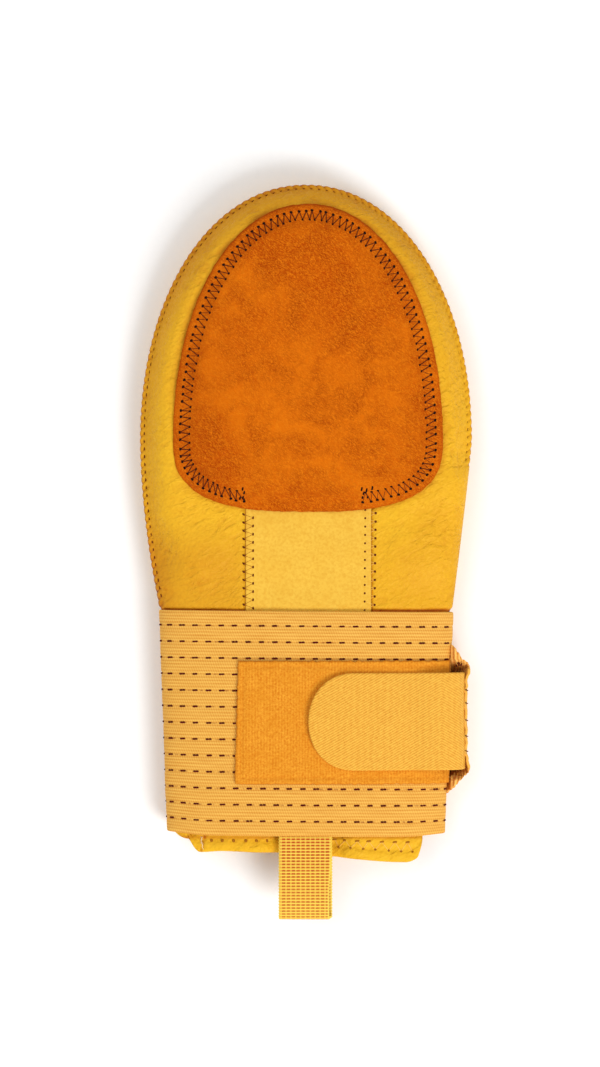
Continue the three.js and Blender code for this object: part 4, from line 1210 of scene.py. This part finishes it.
# The strap's root: elastic wings from under the band, sewn up outside the strap.
root = dict(thickness=1.3, rim=0.65, along=100, across=90, wingTopY=-48, wingBottomY=-106, wingSlope=7,
            rib=0.14, notch=0.8, flare=1.4)
rootRun = np.array([  # x, z in the middle, z of the two wings, top edge, bottom edge
    (54, 1.25, 1.25, -42.5, -111.5), (60, 2.8, 2.8, -42.2, -111.8), (64.6, 4.0, 4.2, -42.3, -111.6),
    (66.1, 4.5, 8.0, -42.4, -110.2), (66.8, 4.8, 15.5, -42.6, -108.9), (68.5, 5.6, 18.6, -44.0, -107.0),
    (71.0, 7.0, 18.3, -47.9, -104.6), (73.1, 10.4, 17.9, -51.4, -101.2), (73.5, 14, 17.6, -53.2, -99.6),
    (73.5, 17.4, 16.9, -53.6, -99.2)])
rootNotches = np.array([-63.5, -69.5, -77.3, -84.6, -91.5])


def strapRoot():
    # A wall carried along its path from under the band, with ribs across the path, and its outer
    # end puckered by the stitches that hold the strap.
    pathX, middleZ, wingZ, topEdge, bottomEdge = smoothPath(rootRun, root["along"]).T[..., None]
    way = walked(np.concatenate([pathX, middleZ], 1))
    share = softSpacing(1, 0.016, 3, root["across"])
    toSide = np.minimum(share, 1 - share)
    y = mixed(topEdge, bottomEdge, share)
    wing = 1 - smoothStep(np.minimum(y - root["wingBottomY"], root["wingTopY"] - y), 1, 1 + root["wingSlope"])
    at = np.stack([pathX + 0 * y, mixed(middleZ, wingZ, wing)], -1)
    tangent = headings(at, way)
    toEnd = (way[-1] - way)[:, None]
    toEdge = np.minimum(toSide * (topEdge - bottomEdge), np.minimum(way[:, None], toEnd))
    rim = roundRim(toEdge, root["rim"])
    notch = bell(y[..., None] - rootNotches, 0.8).sum(-1)
    puckers = 0.35 * softHills(y, 0 * y, 7, 71) + 0.2 * softHills(y, 0 * y, 2.2, 72)
    pulled = bell(toEnd, 3.5) * (root["notch"] * notch + puckers)
    ribs = root["rib"] * np.sin(turnsPer(rootRibPitch) * way[:, None]) * smoothStep(toEdge, 0, 2)
    fray = 0.35 * softHills(way[:, None] + 0 * y, y * 0.05, 2.4, 73) + 0.2 * np.sin(4.2 * way[:, None])
    y = y + fray * bell(toSide * 60, 3)
    flared = root["flare"] * bell(toSide * 46 - 0.6, 2.6) * smoothStep(middleZ, 7, 11)

    def face(away):
        # A face of the wall, `away` from its middle along the path's normal.
        return np.stack([at[..., 0] + flared - pulled - tangent[..., 1] * away, y,
                         at[..., 1] + tangent[..., 0] * away], -1)

    reach = root["thickness"] / 2 * rim
    shape = sheetShell(face(reach + ribs * rim), face(-reach + ribs * rim))
    piece = makePiece("strap_root_elastic", shape, rootElastic, "fuzzy_tape", "strap_root",
                      uv=(way[:, None], y))


strapRoot()


# The bar tacks that hold the strap's corners to its root, and the fluff their thread has raised.
tack = dict(threads=12, hairs=22, thread=0.36, hair=0.16, corner=(70.3, -52.6), lowCorner=(69.6, -101.6))


def rootTacks():
    # Short threads standing across the corner above the strap, and a smaller set below it; the
    # fluff is finer hairs lying in seeded directions.
    chance = np.random.default_rng(81)

    def tufts(start, lean, radius, sides):
        # Straight threads, each from its start to its start plus its lean.
        start, lean = np.stack(start, 1)[:, None], lean[:, None]
        return threadTubes(start + lean * np.linspace(0, 1, 4)[:, None], radius, sides=sides)

    dark, brown, pale = [], [], []
    for (x, y), side, share in ((tack["corner"], 1, 1.0), (tack["lowCorner"], -1, 0.6)):
        count = int(tack["threads"] * share)
        start = (x + chance.uniform(-1.6, 1.4, count), y + side * chance.uniform(0.2, 4.2, count) * share,
                 chance.uniform(14.5, 17.5, count))
        lean = np.stack([chance.uniform(-0.5, 0.5, count), side * chance.uniform(-1.3, -0.5, count),
                         chance.uniform(-0.3, 0.5, count)], 1)
        (dark if side > 0 else brown).append(tufts(start, lean, tack["thread"], 6))
        count = int(tack["hairs"] * share)
        start = (x - 2.2 + chance.uniform(-1.8, 1.0, count),
                 y + side * chance.uniform(1.5, 5.5, count) * share, chance.uniform(15, 18, count))
        lean = chance.uniform(-1.2, 1.2, (count, 3)) * (0.6, 1.0, 0.5)
        pale.append(tufts(start, lean, tack["hair"], 5))
    pull = np.stack([73.1 + 0 * rootNotches, rootNotches + 0.3, 17.6 + 0 * rootNotches], 1)
    drop = np.array([(0, 0, 0), (0.5, -0.1, 0.1), (1.0, -0.3, -0.8), (1.2, -0.4, -2)])
    dark.append(threadTubes(pull[:, None] + drop, 0.24))
    makePiece("root_tack_threads", joined(dark), umberThread, "fuzzy_tape")
    makePiece("root_low_tack_threads", joined(brown), brownThread, "fuzzy_tape")
    makePiece("root_tack_fluff", joined(pale), goldThread, "fuzzy_tape")


rootTacks()
print("band, patch and strap done")


# The pull loop: folded webbing, its yarns in relief.
loop = dict(width=24.3, foldWidth=23.1, thickness=1.4, leftX=-12.5, relief=0.17, rim=0.6, along=440,
            across=40, samples=2400)
loopRun = [(-107, 23.35), (-130, 23.35), (-142, 23.6), (-154, 23.2), (-163.4, 22.0), (-167.7, 19.4),
           (-165.6, 17.1), (-160, 16.9), (-151, 18.9), (-143, 21.1), (-130, 21.45), (-107, 21.5)]


def pullLoop():
    # A flat tape carried along the fold: humps across it at each yarn, a scalloped edge, and the
    # front narrowing towards the fold so that the back shows beside it.
    path = smoothPath(loopRun, loop["samples"])
    length = walked(path)[-1]
    way = softSpacing(length, 0.5, 2, loop["along"])
    middle = alongPath(path, way)
    tangent, way = headings(middle, way), way[:, None]
    back = smoothStep(way / length, 0.49, 0.51)
    narrowing = mixed(smoothStep(middle[:, :1], -135, -158), 0.25, back)
    across = softSpacing(1, loop["rim"] / loop["width"], 3, loop["across"])
    width = mixed(loop["width"], loop["foldWidth"], narrowing)
    offset = across * width
    toSides = np.minimum(across, 1 - across) * width
    rim = roundRim(np.minimum(toSides, np.minimum(way, length - way)), loop["rim"])
    row = way / webbingWeave["yarnPitch"]
    crest = np.abs(np.sin(math.pi * row))
    selvedge = smoothStep(toSides, 0.3, 0.8)
    reach = loop["thickness"] / 2 * rim
    lift = (crest - 0.6) * loop["relief"] * rim * mixed(0.7, 1, selvedge)
    scallop = 0.16 * np.cos(2 * math.pi * row) * bell(toSides, 0.7)
    x = loop["leftX"] + back * 0.5 + offset + np.where(across > 0.5, 1, -1) * scallop

    def face(away):
        # A face of the webbing, `away` from its middle along the path's normal.
        return np.stack([x, middle[:, :1] + tangent[:, 1:] * away, middle[:, 1:] - tangent[:, :1] * away], -1)

    piece = makePiece("webbing_pull_loop", sheetShell(face(-reach - lift), face(reach + lift)), ribWebbing,
                      "loop_webbing", "pull_loop", uv=(offset, way), selvedge=selvedge)


pullLoop()


# The leather cuff inside the band; its hem shows below.
cuff = dict(topY=-38, wall=2.4, rightX=53, cornerRadius=6.5, dip=4.1, dipHalfWidth=26, dipStartY=-88,
            dipFullY=-104, around=250, evenY=-120, hemY=-136, rim=1.2, samples=6001, shade=0.5)
hemTable = smoothPath([  # x, y of the lower edge, from the left side to the right corner
    (-66, -124), (-61.5, -127.5), (-58.4, -130.3), (-55.6, -131.4), (-54.1, -131.5), (-52.9, -133.2),
    (-51.6, -135.5), (-49.9, -137.3), (-47.5, -137.4), (-40, -136.9), (-25, -137.4), (-12, -137.9),
    (12, -139.5), (26, -140.8), (38, -141.8), (47, -142.1), (53, -142.1)], 400)


def hemHeight(x):
    # The lower edge: two small lobes on the left, then falling to a round corner on the right.
    radius = cuff["cornerRadius"]
    intoCorner = np.clip(x - (cuff["rightX"] - radius), 0, radius)
    return np.interp(x, hemTable[:, 0], hemTable[:, 1]) + radius - np.sqrt(radius**2 - intoCorner**2)


def cuffDip(x, y):
    # How far the middle of the front is pressed down below the band, under the loop.
    beside = 0.5 + 0.5 * np.cos(math.pi * np.clip(x / cuff["dipHalfWidth"], -1, 1))
    return cuff["dip"] * smoothStep(beside, 0, 0.5) * smoothStep(y, cuff["dipStartY"], cuff["dipFullY"])


def cornerLean(x, y):
    # The slit's edge slants out toward the band.
    return 2.4 * smoothStep(x, 40, 50) * smoothStep(y, -144, -131)


def hemCreases(x, y, amounts, widths):
    # Two creases that cross the hem at the left.
    places = (x + 47.3 - (y + 134) * 0.25, x + 54.2 - (y + 131) * 0.8)
    return sum(amount * bell(place, width) for amount, place, width in zip(amounts, places, widths))


def cuffSwell(x, y):
    # The turned hem is a soft roll below its stitches, pressed in along them, with creases that
    # cross it at the left.
    toHem = y - hemHeight(x)
    roll = 0.45 * bell(toHem - 2.4, 2.0) - 0.35 * bell(toHem - 5.8, 1.2)
    crossed = hemCreases(x, y, (0.8, 0.7), (0.55, 0.7)) * smoothStep(toHem, 0, 1.5)
    dimples = 0.3 * (0.5 + 0.5 * np.cos(turnsPer(5.1) * (x + 43.2))) * bell(toHem - 5.6, 1.6)
    return roll - crossed - dimples + 0.22 * softHills(x, y, 11, 81)


def onCuff(x, y):
    # The cuff's face over its front.
    return tubeHeight(x - cornerLean(x, y), y, cuffInset, 1) - cuffDip(x, y) + cuffSwell(x, y)


def leatherCuff():
    # The tube's wall again, inside the band, from a slit on the right all round: columns at even
    # distances, each ending on the hem.
    middleY = (wrist["topY"] + wrist["bottomY"]) / 2
    share = cuff["rightX"] / (tubeHalfWidth(middleY) - cuffInset)
    start, end = [math.acos(share ** (wrist[power] / 2)) for power in ("upperRoundness", "underRoundness")]
    fine = np.linspace(start, 2 * math.pi - end, cuff["samples"])
    way = walked(np.stack(tubeWall(fine, middleY, cuffInset), 1))
    angle = np.interp(softSpacing(way[-1], 1.0, 4, cuff["around"]), way, fine)
    endAt = hemHeight(np.minimum(tubeWall(angle, cuff["hemY"], cuffInset)[0], cuff["rightX"]))[:, None]
    high = cuff["topY"] - np.concatenate([[0, 0.1, 0.5, 1.2], np.linspace(4, 82, 11)[:-1]])
    low = 1 - (1 - np.linspace(0, 1, 34)) ** 1.5
    high = np.broadcast_to(high, (len(angle), len(high)))
    y = np.concatenate([high, mixed(cuff["evenY"], endAt, low)], 1)
    angle = np.broadcast_to(angle[:, None], y.shape)
    toSlit = np.minimum(np.arange(len(y)), np.arange(len(y))[::-1])[:, None]
    slitRim = np.interp(toSlit, [0, 1, 2, 3, 4], [0, 0.55, 0.8, 0.95, 1])
    rim = roundRim(np.minimum(y - endAt, cuff["topY"] - y), cuff["rim"]) * slitRim
    half = cuff["wall"] / 2

    def face(away, swelling):
        # A face of the wall, `away` from its middle. Over the front it leans, swells and dips.
        x, z = tubeWall(angle, y, cuffInset + half - away)
        upper = smoothStep(np.sin(angle), 0, 0.3)
        x = x + upper * cornerLean(x, y)
        z = z + upper * (cuffSwell(x, y) * rim * swelling - cuffDip(x, y))
        return np.stack([x, y, z], -1)

    outer, inner = face(half * rim, 1), face(-half * rim, 0)
    bandEdge = wrist["bottomY"] - 0.6  # just below it lies the band's shade
    # Painted shade in the hem's creases, and a painted shadow just below the band's edge.
    creased = hemCreases(outer[..., 0], y, (0.6, 0.5), (0.5, 0.6)) * (y < -129) * (np.sin(angle) > 0)
    piece = makePiece("leather_cuff", sheetShell(outer, inner), yellowLeather, "yellow_leather", "cuff",
                      burnish=creased + cuff["shade"] * bell(y - bandEdge, 0.8))


leatherCuff()


def hemStitches():
    # Dots of a straight stitch left of the loop, and a tall open zigzag right of it; a few loose
    # pale threads lie in the crease at the left.
    dots = np.stack([[-43.2, -38.3, -33.1, -27.5, -22.7, -18], np.full(6, -132.2)], 1)
    low = np.array([(15.0, -135.2), (20.4, -135.4), (26.1, -135.8), (31.6, -136.1), (37.8, -136.7),
                    (43.5, -137.1), (48.8, -137.3)])
    high = np.array([(13.2, -131.6), (18.0, -131.9), (23.4, -132.1), (28.6, -132.2), (34.6, -132.5),
                     (40.6, -132.7), (46.4, -132.8)])
    threads = laidThreads(onCuff, [(high, low, 0.03), (low[:-1], high[1:], 0.03)], 0.17)
    makePiece("hem_threads", threads, goldThread, "yellow_leather")
    strands = np.array([[(-48.2, -130.2), (-47.6, -131.6), (-48.1, -133), (-47.3, -134.2), (-47.4, -135.4)],
                        [(-47.4, -130.4), (-48.2, -132), (-47.2, -133.6), (-47.7, -134.8), (-46.9, -136.0)]])
    fluff = threadTubes(seated(strands, onCuff, 0.25), 0.16, sides=5)
    makePiece("hem_fluff", fluff, paleThread, "yellow_leather")
    # The brown knots at the needle holes are darker than the gold threads: thread at each hole, with painted
    # shade of the hole.
    knots = seatedKnots(onCuff, (dots, (0.15, -1.0), 1.5, 0.75), (low, (0.5, 1.0), 1.0, 0.6),
                        (high, (1.0, 0.1), 2.1, 0.45))
    makePiece("hem_stitch_knots", knots, brownThread, "yellow_leather")


hemStitches()
print("pull loop and cuff done")
